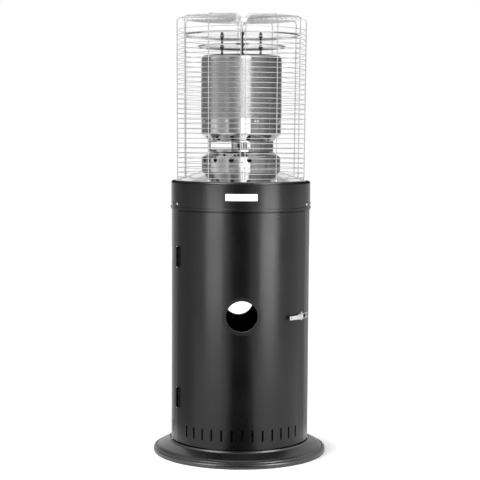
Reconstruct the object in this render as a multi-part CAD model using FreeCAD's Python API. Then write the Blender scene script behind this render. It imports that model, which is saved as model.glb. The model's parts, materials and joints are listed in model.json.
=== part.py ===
import FreeCAD, Part
import math
import os

# Patio heater for a gas cylinder: a round housing on a pressed base, a burner with a
# perforated emitter on top of it, two reflector discs and a wire guard in two halves.
# Millimetres. +Z is up, the front with the door faces -Y, and the origin is the middle
# of the base on the ground. Azimuths are degrees from the front, growing towards +X.

# Base pan
base_overhang = 55.5
base_height = 41.0
base_flat_margin = 9.5
base_shoulder_radius = 30.0
base_slope_setback = 11.0
base_slope_foot = 17.0
base_bead_height = 11.0
base_bead_width = 9.0
base_bead_corner = 2.5
base_sheet = 2.0

# Housing and its doorway
housing_radius = 216.5
housing_height = 726.0
housing_sheet = 1.2
housing_flange = 20.0
door_left_azimuth = -63.5
door_right_azimuth = 65.0
jamb_depth = 20.0
door_stop_gap = 2.3
door_stop_width = 12.0
head_rail_height = 22.0
sill_height = 20.0

# Door
door_gap = 0.4
door_bottom_gap = 6.0
door_top_gap = 2.5
door_return = 9.0
slot_count = 13
slot_pitch = 8.45
slot_height = 37.0
slot_width = 6.0
slot_bottom = 70.0
side_slot_count = 5
side_slot_azimuth = 91.0

# Hand holes
hand_hole_height = 453.0
hand_hole_bore = 95.0
collar_outer = 117.0
collar_face = 1.5
collar_wall = 1.6
collar_depth = 12.0
collar_lap = 4.0
fit_gap = 0.2

# Hinges
hinge_height = 62.0
hinge_upper_level = 624.0
hinge_lower_level = 187.0
hinge_leaf = 1.5
hinge_leaf_width = 13.0
knuckle_radius = 3.2
knuckle_count = 3
knuckle_gap = 0.4
hinge_pin_diameter = 3.0
hinge_pin_head = 4.6
hinge_pin_head_height = 1.2
running_clearance = 0.05

# Latch on the door's free edge
latch_level = 443.0
latch_pivot_azimuth = 57.5
latch_pivot_offset = 6.6
latch_link_reach = 17.0
latch_link_offset = 4.4
latch_base_start = 52.0
latch_base_end = 62.0
latch_base_height = 13.0
latch_plate = 1.4
latch_lug_height = 25.0
latch_lug_start = 58.0
latch_lug_end = 60.6
latch_cheek_half = 4.8
latch_cheek_sheet = 1.0
latch_cheek_length = 7.0
latch_cheek_crown = 2.3
latch_lever_start = 40.5
latch_lever_boss = 3.6
latch_lever_sheet = 1.1
latch_lever_top = 10.5
latch_handle_end = 46.0
latch_handle_height = 12.0
latch_side_gap = 0.3
latch_bail_wire = 2.0
latch_bail_lift = 4.4
latch_hook_azimuth = 68.7
latch_pin_diameter = 2.4
keeper_start = 66.9
keeper_end = 71.6
keeper_height = 16.0
keeper_plate = 1.3
keeper_lip_height = 2.6
keeper_lip_width = 10.0

# Burner compartment band
band_step = 1.5
band_height = 83.0
band_sheet = 1.2
band_roll = 3.8
bulkhead_margin = 11.5
bulkhead_sheet = 1.2
hose_hole = 34.0
hose_hole_x = 60.0
hose_hole_y = 120.0

# Stainless top plate
plate_sheet = 1.2
plate_skirt_gap = 0.3
plate_edge_rise = 8.0
plate_edge_corner = 5.0
plate_edge_width = 5.5
plate_rise = 33.0
plate_skirt_drop = 12.0
plate_opening_margin = 8.5
plate_land_margin = 5.0

# Burner drum, neck and cup
drum_radius = 123.5
drum_straight = 41.0
drum_height = 64.0
drum_shoulder = 12.0
burner_sheet = 1.0
drum_flange = 6.0
air_hole = 15.0
air_hole_count = 14
air_hole_azimuth = -15.3
air_hole_level = 39.0
neck_radius = 101.5
neck_height = 33.4
neck_lap = 1.0
lap_gap = 0.05
neck_window_margin = 6.0
neck_post_azimuths = (-110.0, -100.0)
neck_wall_azimuths = (19.0, 161.0)
cup_radius = 124.7
cup_cone_height = 20.6
cup_skirt_height = 49.0
cup_hole = 14.0
cup_spigot = 12.0
cover_start = 15.5
cover_end = 73.0
cover_sheet = 1.0

# Emitter
emitter_radius = 125.8
emitter_sheet = 0.8
emitter_corner = 10.0
emitter_cap_skirt = 14.0

# Reflectors on three rods
rod_diameter = 7.0
rod_circle = 70.0
rod_count = 3
rod_nut = 12.0
rod_nut_height = 5.0
rod_end = 3.0
lower_disc_radius = 138.7
lower_disc_gap = 30.7
upper_disc_inset = 17.5
upper_disc_gap = 34.5
disc_sheet = 1.0
disc_lip = 5.5
disc_corner = 2.0

# Wire guard
guard_inset = 18.0
guard_height = 500.0
guard_over_emitter = 305.7
guard_flare = 3.0
guard_hoop_drop = 11.0
guard_hoop_link = 14.0
guard_seat_gap = 3.6
guard_bar = 3.0
guard_wire = 2.2
guard_corner = 14.0
guard_ring_pitch = 30.0
guard_split = 7.0
guard_bar_azimuths = (31.0, 61.0, 90.0, 119.0, 149.0)
guard_bite = 0.5
guard_ring_chords = 3
guard_foot_stud = 5.0
guard_foot_length = 14.0

# Burner inner pieces
burner_dish_sheet = 1.5
burner_dish_drop = 6.0
venturi_diameter = 30.0
venturi_wall = 1.2
venturi_x = -15.0
venturi_length = 104.0
venturi_rise = 18.0
injector_gap = 4.0
bridge_foot = 14.0
bridge_slope_run = 10.0
bridge_lap = 8.0
bridge_width = 24.0
bridge_sheet = 2.0
injector_diameter = 14.0
injector_length = 26.0
injector_bore = 2.0
pilot_x = 12.0
pilot_y = -22.0
pilot_width = 13.0
pilot_height = 66.0

# Gas valve and its knob at the back
knob_rise = 41.0
knob_diameter = 44.0
knob_depth = 24.0
knob_lobes = 12
knob_push = 4.0
stem_diameter = 8.0
bezel_diameter = 66.0
bezel_sheet = 1.5
bezel_bore = 14.0
valve_width = 46.0
valve_depth = 40.0
valve_height = 34.0
valve_setback = 12.0
gas_tube_diameter = 8.0

# Cylinder floor
cylinder_radius = 164.0
cylinder_rim = 13.0
cylinder_sheet = 1.5

# A rounded corner is bent in chords that turn by about this angle
corner_turn = 45.0

# Radii that follow from the sizes above
base_radius = housing_radius + base_overhang
base_flat_radius = housing_radius + base_flat_margin
base_slope_radius = base_radius - base_slope_setback
door_stop_radius = housing_radius - door_return - door_stop_gap
band_radius = housing_radius + band_step
bulkhead_radius = housing_radius - bulkhead_margin
plate_opening = drum_radius - plate_opening_margin
guard_radius = band_radius - guard_inset
upper_disc_radius = guard_radius - upper_disc_inset

# Levels that follow from the sizes above
housing_bottom = base_height
housing_top = housing_bottom + housing_height
door_bottom = housing_bottom + door_bottom_gap
door_top = housing_top - door_top_gap
band_bottom = housing_top
band_top = band_bottom + band_height
knob_level = band_bottom + knob_rise
bulkhead_top = band_bottom + band_sheet + bulkhead_sheet
drum_bottom = band_top + plate_rise
neck_bottom = drum_bottom + drum_height
cup_bottom = neck_bottom + neck_height
skirt_bottom = cup_bottom + cup_cone_height
emitter_bottom = skirt_bottom + cup_skirt_height
emitter_height = guard_height - guard_over_emitter
emitter_top = emitter_bottom + emitter_height
lower_disc_top = emitter_top + lower_disc_gap
upper_disc_top = lower_disc_top + upper_disc_gap
plate_edge_radius = band_radius - 2.0 * band_roll - plate_skirt_gap
plate_cone_radius = plate_edge_radius - plate_edge_width
plate_cone_level = band_top + plate_edge_rise
plate_land_radius = drum_radius + plate_land_margin
dish_level = skirt_bottom + burner_dish_drop
venturi_top = dish_level + venturi_rise
injector_top = venturi_top - venturi_length - injector_gap
injector_bottom = injector_top - injector_length

ORIGIN = FreeCAD.Vector(0, 0, 0)
UP = FreeCAD.Vector(0, 0, 1)
FRONT = FreeCAD.Vector(0, -1, 0)


def at_azimuth(radius, azimuth, level=0.0):
    """Point at a radius and an azimuth from the front."""
    angle = math.radians(azimuth)
    return FreeCAD.Vector(radius * math.sin(angle), -radius * math.cos(angle), level)


def section_point(point):
    """Point of a section, given as radius and level."""
    return FreeCAD.Vector(point[0], 0, point[1])


def line(start, end):
    return Part.LineSegment(start, end).toShape()


def corner_points(before, corner, after, radius):
    """Points on the round corner between two lines, one chord for each step of the turn."""
    back = (before - corner).normalize()
    ahead = (after - corner).normalize()
    half = back.getAngle(ahead) / 2.0
    centre = corner + (back + ahead).normalize() * (radius / math.sin(half))
    start = corner + back * (radius / math.tan(half))
    turn = math.pi - 2.0 * half
    chords = max(1, round(math.degrees(turn) / corner_turn))
    axis = (corner - before).cross(after - corner).normalize()
    spoke = start - centre
    points = []
    for index in range(chords + 1):
        step = FreeCAD.Rotation(axis, math.degrees(turn) * index / chords)
        points.append(centre + step.multVec(spoke))
    return points


def rounded_edges(points):
    """Lines through (radius, level, corner radius) points, with the corners bent in chords."""
    corners = [section_point(point) for point in points]
    path = [corners[0]]
    for index in range(1, len(corners) - 1):
        radius = points[index][2]
        if radius > 0:
            path += corner_points(corners[index - 1], corners[index], corners[index + 1], radius)
        else:
            path.append(corners[index])
    path.append(corners[-1])
    return [line(start, end) for start, end in zip(path, path[1:])]


def sheet_section(points, thickness):
    """Bent sheet in section; the metal lies on the right of the path seen from the front."""
    return Part.Wire(rounded_edges(points)).makeOffset2D(-thickness, 2, True, True, False)


def solid_section(points):
    """Closed section through (radius, level, corner radius) points."""
    middle = tuple((points[0][axis] + points[-1][axis]) / 2.0 for axis in (0, 1)) + (0,)
    return Part.Face(Part.Wire(rounded_edges([middle] + list(points) + [middle])))


def revolved(section, azimuth=0.0, sweep=360.0):
    """Section turned about the middle axis, starting at an azimuth."""
    face = section.copy()
    face.rotate(ORIGIN, UP, azimuth - 90.0)
    return face.revolve(ORIGIN, UP, sweep)


def arc_plate(inner, outer, bottom, top, start, end):
    """Curved plate between two radii, two levels and two azimuths."""
    section = Part.makePolygon([
        FreeCAD.Vector(inner, 0, bottom),
        FreeCAD.Vector(outer, 0, bottom),
        FreeCAD.Vector(outer, 0, top),
        FreeCAD.Vector(inner, 0, top),
        FreeCAD.Vector(inner, 0, bottom),
    ])
    return revolved(Part.Face(section), start, end - start)


def ring(inner, outer, bottom, top):
    """Full ring between two radii and two levels."""
    height = top - bottom
    body = Part.makeCylinder(outer, height, FreeCAD.Vector(0, 0, bottom))
    return body.cut(Part.makeCylinder(inner, height, FreeCAD.Vector(0, 0, bottom)))


def radial_rod(azimuth, level, diameter, inner, outer):
    """Rod that points outwards at an azimuth."""
    start = at_azimuth(inner, azimuth, level)
    return Part.makeCylinder(diameter / 2.0, outer - inner, start, at_azimuth(1.0, azimuth))


def radial_block(azimuth, width, inner, outer, bottom, top):
    """Block with straight sides between two distances from the axis, turned to an azimuth."""
    corner = FreeCAD.Vector(-width / 2.0, -outer, bottom)
    block = Part.makeBox(width, outer - inner, top - bottom, corner)
    block.rotate(ORIGIN, UP, azimuth)
    return block


def upright_rod(point, diameter, bottom, top):
    """Vertical rod at a point's place."""
    return Part.makeCylinder(diameter / 2.0, top - bottom, FreeCAD.Vector(point.x, point.y, bottom))


def fused(shapes):
    """One solid from several that touch or overlap."""
    return shapes[0].multiFuse(list(shapes[1:])).removeSplitter()


def rounded_slot(azimuth, width, bottom, height, inner, outer):
    """Cutter for a vertical slot with round ends."""
    half = width / 2.0
    body = radial_block(azimuth, width, inner, outer, bottom + half, bottom + height - half)
    low = radial_rod(azimuth, bottom + half, width, inner, outer)
    high = radial_rod(azimuth, bottom + height - half, width, inner, outer)
    return body.multiFuse([low, high])


def hexagon_block(point, across, bottom, height):
    """Six-sided block on a vertical axis."""
    reach = across / math.sqrt(3.0)
    corners = []
    for index in range(7):
        angle = math.radians(60.0 * index)
        corners.append(FreeCAD.Vector(point.x + reach * math.cos(angle),
                                      point.y + reach * math.sin(angle), bottom))
    return Part.Face(Part.makePolygon(corners)).extrude(FreeCAD.Vector(0, 0, height))


# Base

def base_pan():
    """Pressed steel dish with a flat middle, a sloping edge and a rolled bead on the ground."""
    path = [
        (0.0, base_height, 0),
        (base_flat_radius, base_height, base_shoulder_radius),
        (base_slope_radius, base_slope_foot, 0),
        (base_slope_radius, base_bead_height / 2.0, 0),
    ]
    dish = revolved(sheet_section(path, base_sheet))
    inner = base_radius - base_bead_width
    bead = revolved(solid_section([
        (inner - base_sheet, 0.0, base_bead_corner / 2.0),
        (base_radius, 0.0, base_bead_corner),
        (base_radius, base_bead_height, base_bead_corner),
        (inner - base_sheet, base_bead_height, base_bead_corner / 2.0),
    ]))
    return dish.fuse(bead)


def cylinder_floor():
    """Round tray that the gas cylinder stands in, with an upturned edge."""
    path = [
        (cylinder_radius, base_height + cylinder_rim, 0),
        (cylinder_radius, base_height, 4.0),
        (0.0, base_height, 0),
    ]
    return revolved(sheet_section(path, cylinder_sheet))


# Housing

def jamb(azimuth, towards_door):
    """Doorway edge: a plate turned inwards and a narrow stop that the door closes on."""
    turn = math.degrees(housing_sheet / housing_radius) * towards_door
    low = housing_bottom + housing_sheet
    high = housing_top - housing_sheet
    inner = housing_radius - jamb_depth
    edges = sorted((azimuth, azimuth - turn))
    plate = arc_plate(inner, housing_radius, low, high, edges[0], edges[1])
    edges = sorted((azimuth - turn, azimuth + door_stop_turn() * towards_door))
    stop_inner = door_stop_radius - housing_sheet
    stop = arc_plate(stop_inner, door_stop_radius, low, high, edges[0], edges[1])
    return plate.fuse(stop)


def door_stop_turn():
    return math.degrees(door_stop_width / door_stop_radius)


def housing_shell():
    """Back of the housing with its doorway edges, hand hole and air slots."""
    inner = housing_radius - housing_sheet
    wall = arc_plate(inner, housing_radius, housing_bottom, housing_top,
                     door_right_azimuth, 360.0 + door_left_azimuth)
    shell = fused([wall, jamb(door_left_azimuth, 1.0), jamb(door_right_azimuth, -1.0)])
    bore = collar_outer - 2.0 * collar_lap
    cutters = [radial_rod(180.0, hand_hole_height, bore, inner - 20.0, housing_radius + 5.0)]
    middle = (side_slot_count - 1) / 2.0
    for side in (-1.0, 1.0):
        for index in range(side_slot_count):
            azimuth = side * (side_slot_azimuth + (index - middle) * slot_pitch)
            cutters.append(rounded_slot(azimuth, slot_width, slot_bottom, slot_height,
                                        inner - 5.0, housing_radius + 5.0))
    return shell.cut(cutters)


def doorway_strip(low, high):
    """Strip that the door closes on, between the stops of the two doorway edges."""
    return arc_plate(door_stop_radius - housing_sheet, door_stop_radius, low, high,
                     door_left_azimuth + door_stop_turn(), door_right_azimuth - door_stop_turn())


def foot_ring():
    """Ring inside the foot of the housing, with the doorway's sill."""
    top = housing_bottom + housing_sheet
    flat = ring(housing_radius - housing_flange, housing_radius - housing_sheet,
                housing_bottom, top)
    return flat.fuse(doorway_strip(top, housing_bottom + sill_height))


def head_ring():
    """Ring inside the top of the housing, with the doorway's head rail."""
    bottom = housing_top - housing_sheet
    flat = ring(housing_radius - housing_flange, housing_radius - housing_sheet,
                bottom, housing_top)
    return flat.fuse(doorway_strip(housing_top - head_rail_height, bottom))


def front_door():
    """Curved door with its sides turned inwards, a hand hole and a row of air slots."""
    inner = housing_radius - housing_sheet
    edge = housing_radius - door_return
    start = door_left_azimuth + door_gap
    end = door_right_azimuth - door_gap
    turn = math.degrees(housing_sheet / housing_radius)
    skin = arc_plate(inner, housing_radius, door_bottom, door_top, start, end)
    left = arc_plate(edge, housing_radius, door_bottom, door_top, start, start + turn)
    right = arc_plate(edge, housing_radius, door_bottom, door_top, end - turn, end)
    door = fused([skin, left, right])
    bore = collar_outer - 2.0 * collar_lap
    cutters = [radial_rod(0.0, hand_hole_height, bore, inner - 20.0, housing_radius + 5.0)]
    door_middle = (door_left_azimuth + door_right_azimuth) / 2.0
    middle = (slot_count - 1) / 2.0
    for index in range(slot_count):
        azimuth = door_middle + (index - middle) * slot_pitch
        cutters.append(rounded_slot(azimuth, slot_width, slot_bottom, slot_height,
                                    inner - 5.0, housing_radius + 5.0))
    return door.cut(cutters)


def door_strip(bottom):
    """Strip that stiffens the door's lower or upper edge from inside."""
    turn = math.degrees(housing_sheet / housing_radius)
    return arc_plate(housing_radius - door_return, housing_radius - housing_sheet,
                     bottom, bottom + housing_sheet,
                     door_left_azimuth + door_gap + turn, door_right_azimuth - door_gap - turn)


def hand_hole_collar(azimuth):
    """Trim ring round a hand hole, saddle-shaped to lie on the curved sheet."""
    face = Part.makeCylinder(collar_outer / 2.0, housing_radius + 10.0,
                             FreeCAD.Vector(0, 0, hand_hole_height), FRONT)
    face = face.common(ring(housing_radius, housing_radius + collar_face,
                            hand_hole_height - collar_outer, hand_hole_height + collar_outer))
    tube_radius = hand_hole_bore / 2.0 + collar_wall
    sagitta = housing_radius - math.sqrt(housing_radius ** 2 - tube_radius ** 2)
    start = FreeCAD.Vector(0, -(housing_radius - sagitta - collar_depth), hand_hole_height)
    tube = Part.makeCylinder(tube_radius, sagitta + collar_depth + collar_face, start, FRONT)
    tube = tube.common(Part.makeCylinder(housing_radius + collar_face, 2.0 * collar_outer,
                                         FreeCAD.Vector(0, 0, hand_hole_height - collar_outer)))
    bore = Part.makeCylinder(hand_hole_bore / 2.0, housing_radius + 20.0,
                             FreeCAD.Vector(0, 0, hand_hole_height), FRONT)
    collar = face.fuse(tube).cut(bore).removeSplitter()
    collar.rotate(ORIGIN, UP, azimuth)
    return collar


# Hinges

def hinge_axis_radius():
    return housing_radius + hinge_leaf + knuckle_radius - 0.7


def knuckle_levels(level, on_door):
    """Bottom and top of the knuckles of one leaf; the door's leaf has the odd ones."""
    length = hinge_height / knuckle_count
    bottom = level - hinge_height / 2.0
    spans = []
    for index in range(knuckle_count):
        if (index % 2 == 1) == on_door:
            low = bottom + index * length + (knuckle_gap / 2.0 if index > 0 else 0.0)
            last = index == knuckle_count - 1
            high = bottom + (index + 1) * length - (0.0 if last else knuckle_gap / 2.0)
            spans.append((low, high))
    return spans


def hinge_leaf_piece(level, on_door):
    """Curved hinge leaf with its knuckles round the pin."""
    side = 1.0 if on_door else -1.0
    centre = hinge_axis_radius()
    outer = housing_radius + hinge_leaf
    bottom = level - hinge_height / 2.0
    top = level + hinge_height / 2.0
    away = math.degrees((knuckle_radius + knuckle_gap) / housing_radius)
    reach = math.degrees(hinge_leaf_width / housing_radius)
    ends = sorted((door_left_azimuth + side * away, door_left_azimuth + side * reach))
    shapes = [arc_plate(housing_radius, outer, bottom, top, ends[0], ends[1])]
    axis = at_azimuth(centre, door_left_azimuth)
    for low, high in knuckle_levels(level, on_door):
        ends = sorted((door_left_azimuth, door_left_azimuth + side * (away + 0.2)))
        shapes.append(arc_plate(housing_radius, outer, low, high, ends[0], ends[1]))
        shapes.append(upright_rod(axis, 2.0 * knuckle_radius, low, high))
    bore = hinge_pin_diameter + 2.0 * running_clearance
    return fused(shapes).cut(upright_rod(axis, bore, bottom - 1.0, top + 1.0))


def hinge_pin(level):
    """Hinge pin with a small head at each end."""
    axis = at_azimuth(hinge_axis_radius(), door_left_azimuth)
    bottom = level - hinge_height / 2.0
    top = level + hinge_height / 2.0
    return fused([
        upright_rod(axis, hinge_pin_diameter, bottom, top),
        upright_rod(axis, hinge_pin_head, top, top + hinge_pin_head_height),
        upright_rod(axis, hinge_pin_head, bottom - hinge_pin_head_height, bottom),
    ])


# Latch

def latch_pivot():
    return at_azimuth(housing_radius + latch_pivot_offset, latch_pivot_azimuth)


def latch_link():
    """Pivot of the bail on the lever, at the closed position."""
    turn = math.degrees(latch_link_reach / housing_radius)
    return at_azimuth(housing_radius + latch_link_offset, latch_pivot_azimuth - turn)


def mirrored_pair(shape):
    """The shape and its mirror image below the latch's middle."""
    return [shape, shape.mirror(FreeCAD.Vector(0, 0, latch_level), UP)]


def latch_base():
    """Base plate on the door with two lugs, and two cheeks that carry the lever's pin."""
    outer = housing_radius + latch_plate
    half = latch_base_height / 2.0
    plate = arc_plate(housing_radius, outer, latch_level - half, latch_level + half,
                      latch_base_start, latch_base_end)
    lugs = arc_plate(housing_radius, outer, latch_level - latch_lug_height / 2.0,
                     latch_level + latch_lug_height / 2.0, latch_lug_start, latch_lug_end)
    low = latch_level + latch_cheek_half - latch_cheek_sheet
    high = latch_level + latch_cheek_half
    left = math.degrees(latch_cheek_length / housing_radius)
    right = math.degrees(latch_cheek_crown / housing_radius)
    cheek = arc_plate(outer - 0.3, housing_radius + latch_pivot_offset, low, high,
                      latch_pivot_azimuth - left, latch_pivot_azimuth + right)
    crown = upright_rod(latch_pivot(), 2.0 * latch_cheek_crown, low, high)
    body = fused([plate, lugs] + mirrored_pair(cheek) + mirrored_pair(crown))
    bore = latch_pin_diameter + 2.0 * running_clearance
    return body.cut(upright_rod(latch_pivot(), bore, latch_level - 20.0, latch_level + 20.0))


def latch_lever():
    """Lever with two side walls outside the base's cheeks, a crown and a handle tab."""
    crown_out = housing_radius + latch_lever_top
    crown_in = crown_out - latch_lever_sheet
    low = latch_level + latch_cheek_half + latch_side_gap
    high = low + latch_lever_sheet
    half = high - latch_level
    crown = arc_plate(crown_in, crown_out, latch_level - half, latch_level + half,
                      latch_handle_end, latch_pivot_azimuth)
    tab_half = latch_handle_height / 2.0
    tab = arc_plate(crown_in, crown_out, latch_level - tab_half, latch_level + tab_half,
                    latch_lever_start, latch_handle_end + 0.3)
    floor = housing_radius + latch_plate + 1.0
    wall = arc_plate(floor, crown_out, low, high, latch_handle_end, latch_pivot_azimuth)
    boss = upright_rod(latch_pivot(), 2.0 * latch_lever_boss, low, high)
    body = fused([crown, tab] + mirrored_pair(wall) + mirrored_pair(boss))
    bore = latch_pin_diameter + 2.0 * running_clearance
    reach = 20.0
    cutters = [
        upright_rod(latch_pivot(), bore, latch_level - reach, latch_level + reach),
        upright_rod(latch_link(), latch_bail_wire + 2.0 * running_clearance,
                    latch_level - reach, latch_level + reach),
        radial_rod(latch_lever_start + 1.7, latch_level, 4.0, crown_in - 2.0, crown_out + 2.0),
    ]
    return body.cut(cutters)


def latch_pin():
    """Pin of the lever in the base's cheeks."""
    half = latch_cheek_half + latch_side_gap + latch_lever_sheet
    return upright_rod(latch_pivot(), latch_pin_diameter, latch_level - half, latch_level + half)


def latch_bail():
    """Bail of square wire: two arms beside the lever, stubs in its holes and a cross bar."""
    low = latch_level + latch_cheek_half + 2.0 * latch_side_gap + latch_lever_sheet
    high = low + latch_bail_wire
    inner = housing_radius + latch_bail_lift - latch_bail_wire / 2.0
    outer = inner + latch_bail_wire
    link = latch_link()
    start = latch_pivot_azimuth - math.degrees(latch_link_reach / housing_radius)
    arm = arc_plate(inner, outer, low, high, start, latch_hook_azimuth)
    stub = upright_rod(link, latch_bail_wire, latch_level + latch_cheek_half + latch_side_gap, low)
    end = upright_rod(link, latch_bail_wire * 1.3, low, high)
    wide = math.degrees(latch_bail_wire / housing_radius)
    half = high - latch_level
    bar = arc_plate(inner, outer, latch_level - half, latch_level + half,
                    latch_hook_azimuth - wide, latch_hook_azimuth)
    return fused([bar] + mirrored_pair(arm) + mirrored_pair(stub) + mirrored_pair(end))


def latch_keeper():
    """Keeper on the housing beside the doorway, with a low lip for the bail."""
    outer = housing_radius + keeper_plate
    half = keeper_height / 2.0
    plate = arc_plate(housing_radius, outer, latch_level - half, latch_level + half,
                      keeper_start, keeper_end)
    lip_half = keeper_lip_width / 2.0
    wide = math.degrees(1.2 / housing_radius)
    lip = arc_plate(outer - 0.3, housing_radius + keeper_lip_height, latch_level - lip_half,
                    latch_level + lip_half, keeper_start, keeper_start + wide)
    return plate.fuse(lip)


# Burner compartment

def control_band():
    """Band round the burner compartment, with a foot flange and a rolled upper edge."""
    flange = housing_radius - housing_flange
    path = [
        (flange, band_bottom, 0),
        (band_radius, band_bottom, 0),
        (band_radius, band_top, band_roll - 0.01),
        (band_radius - 2.0 * band_roll, band_top, band_roll - 0.01),
        (band_radius - 2.0 * band_roll, band_top - 2.0 * band_roll, 0),
    ]
    band = revolved(sheet_section(path, -band_sheet))
    return band.cut(radial_rod(180.0, knob_level, bezel_bore, band_radius - 20.0,
                               band_radius + 5.0))


def bulkhead():
    """Plate between the cylinder space and the burner space, with a hole for the hose."""
    bottom = band_bottom + band_sheet
    disc = Part.makeCylinder(bulkhead_radius, bulkhead_sheet, FreeCAD.Vector(0, 0, bottom))
    return disc.cut(upright_rod(hose_place(), hose_hole, bottom - 1.0, bottom + 5.0))


def hose_place():
    return FreeCAD.Vector(hose_hole_x, hose_hole_y, 0)


def top_plate():
    """Stainless cone over the burner compartment, with a land for the burner drum."""
    path = [
        (plate_opening, drum_bottom, 0),
        (plate_land_radius, drum_bottom, 3.0),
        (plate_cone_radius, plate_cone_level, plate_edge_corner),
        (plate_edge_radius, plate_cone_level - plate_edge_corner, plate_edge_corner),
        (plate_edge_radius, band_top - plate_skirt_drop, 0),
    ]
    plate = revolved(sheet_section(path, plate_sheet))
    bore = guard_foot_stud + 2.0 * fit_gap
    return plate.cut([upright_rod(place, bore, plate_cone_level - 10.0, drum_bottom + 5.0)
                      for place in guard_foot_places()])


# Burner

def lower_drum():
    """Lower drum of the burner with a row of air holes and a domed shoulder."""
    path = [
        (drum_radius, drum_bottom, 0),
        (drum_radius, drum_bottom + drum_straight + drum_shoulder / 2.0, drum_shoulder),
        (neck_radius + neck_lap, neck_bottom - lap_gap, 2.0),
        (neck_radius - 3.0, neck_bottom - lap_gap, 0),
    ]
    skin = revolved(sheet_section(path, -burner_sheet))
    flange = ring(drum_radius - drum_flange, drum_radius, drum_bottom, drum_bottom + burner_sheet)
    drum = skin.fuse(flange)
    cutters = []
    for index in range(air_hole_count):
        azimuth = air_hole_azimuth + index * 360.0 / air_hole_count
        turned = azimuth % 360.0
        if cover_start - 3.0 < turned < cover_end + 3.0:
            continue
        cutters.append(radial_rod(azimuth, drum_bottom + air_hole_level, air_hole,
                                  drum_radius - 12.0, drum_radius + 5.0))
    return drum.cut(cutters)


def neck_ring():
    """Narrow neck with wide windows that show the burner tube."""
    neck = ring(neck_radius - burner_sheet, neck_radius, neck_bottom, cup_bottom)
    low = neck_bottom + neck_window_margin
    high = cup_bottom - neck_window_margin + 2.0
    spans = [
        (neck_post_azimuths[1], neck_wall_azimuths[0]),
        (neck_wall_azimuths[1], 360.0 + neck_post_azimuths[0]),
    ]
    cutters = [arc_plate(neck_radius - 6.0, neck_radius + 6.0, low, high, start, end)
               for start, end in spans]
    return neck.cut(cutters)


def burner_cup():
    """Cone and skirt under the emitter, with air holes in the cone."""
    path = [
        (neck_radius - 3.0, cup_bottom, 0),
        (neck_radius + neck_lap, cup_bottom, 2.0),
        (cup_radius, skirt_bottom, 4.0),
        (cup_radius, emitter_bottom + cup_spigot, 0),
    ]
    cup = revolved(sheet_section(path, -burner_sheet))
    cutters = []
    for index in range(air_hole_count):
        azimuth = air_hole_azimuth + index * 360.0 / air_hole_count
        turned = azimuth % 360.0
        if cover_start - 3.0 < turned < cover_end + 3.0:
            continue
        cutters.append(radial_rod(azimuth, cup_bottom + cup_cone_height * 0.4, cup_hole,
                                  neck_radius - 12.0, cup_radius + 5.0))
    return cup.cut(cutters)


def access_cover():
    """Plain panel over the burner's service opening, bent to the drum, neck and skirt."""
    lift = fit_gap
    shoulder_level = drum_bottom + drum_straight + drum_shoulder / 2.0
    cone_slope = (cup_radius - neck_radius - neck_lap) / cup_cone_height
    cone_foot = cup_bottom - (neck_lap + lift) / cone_slope
    path = [
        (drum_radius + lift, drum_bottom + 5.0, 0),
        (drum_radius + lift, shoulder_level, drum_shoulder),
        (neck_radius + neck_lap + lift, neck_bottom + lift, 2.0),
        (neck_radius + lift, neck_bottom + 2.0 * lift, 0),
        (neck_radius + lift, cone_foot, 1.0),
        (cup_radius + lift, skirt_bottom, 4.0),
        (cup_radius + lift, emitter_bottom - 1.0, 0),
    ]
    return revolved(sheet_section(path, cover_sheet), cover_start, cover_end - cover_start)


def emitter_screen():
    """Perforated sleeve of the emitter, drawn without its fine holes."""
    inner = emitter_radius - emitter_sheet
    return ring(inner, emitter_radius, emitter_bottom, emitter_top - emitter_cap_skirt)


def emitter_cap():
    """Cap of the emitter with a rounded edge and holes for the rods."""
    path = [
        (0.0, emitter_top, 0),
        (emitter_radius, emitter_top, emitter_corner),
        (emitter_radius, emitter_top - emitter_cap_skirt, 0),
    ]
    cap = revolved(sheet_section(path, emitter_sheet))
    holes = [upright_rod(at_azimuth(rod_circle, azimuth), rod_diameter + 2.0 * fit_gap,
                         emitter_top - 5.0, emitter_top + 5.0) for azimuth in rod_azimuths()]
    return cap.cut(holes)


def rod_azimuths():
    return [index * 360.0 / rod_count for index in range(rod_count)]


def reflector_rods():
    """Three rods that carry the reflectors, each with nuts above and below every sheet."""
    sheet_tops = (
        (emitter_top, emitter_sheet),
        (lower_disc_top, disc_sheet),
        (upper_disc_top, disc_sheet),
    )
    bottom = emitter_top - emitter_sheet - rod_nut_height - rod_end
    top = upper_disc_top + rod_nut_height + rod_end
    rods = []
    for azimuth in rod_azimuths():
        place = at_azimuth(rod_circle, azimuth)
        shapes = [upright_rod(place, rod_diameter, bottom, top)]
        for level, sheet in sheet_tops:
            shapes.append(hexagon_block(place, rod_nut, level, rod_nut_height))
            shapes.append(hexagon_block(place, rod_nut, level - sheet - rod_nut_height,
                                        rod_nut_height))
        rods.append(fused(shapes))
    return Part.Compound(rods)


def reflector_disc(radius, top):
    """Thin polished disc with a lip turned down, drilled for the rods."""
    path = [
        (0.0, top, 0),
        (radius, top, disc_corner),
        (radius, top - disc_lip, 0),
    ]
    disc = revolved(sheet_section(path, disc_sheet))
    holes = [upright_rod(at_azimuth(rod_circle, azimuth), rod_diameter + 2.0 * fit_gap,
                         top - 5.0, top + 5.0) for azimuth in rod_azimuths()]
    return disc.cut(holes)


# Burner inner pieces

def venturi_place():
    return FreeCAD.Vector(venturi_x, 0, 0)


def burner_dish():
    """Plate across the cup that carries the burner tube and the pilot."""
    radius = cup_radius - burner_sheet - fit_gap
    path = [
        (0.0, dish_level, 0),
        (radius, dish_level, 2.0),
        (radius, dish_level + 12.0, 0),
    ]
    dish = revolved(sheet_section(path, -burner_dish_sheet))
    return dish.cut(upright_rod(venturi_place(), venturi_diameter + 2.0 * fit_gap,
                                dish_level - 5.0, dish_level + 5.0))


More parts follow.
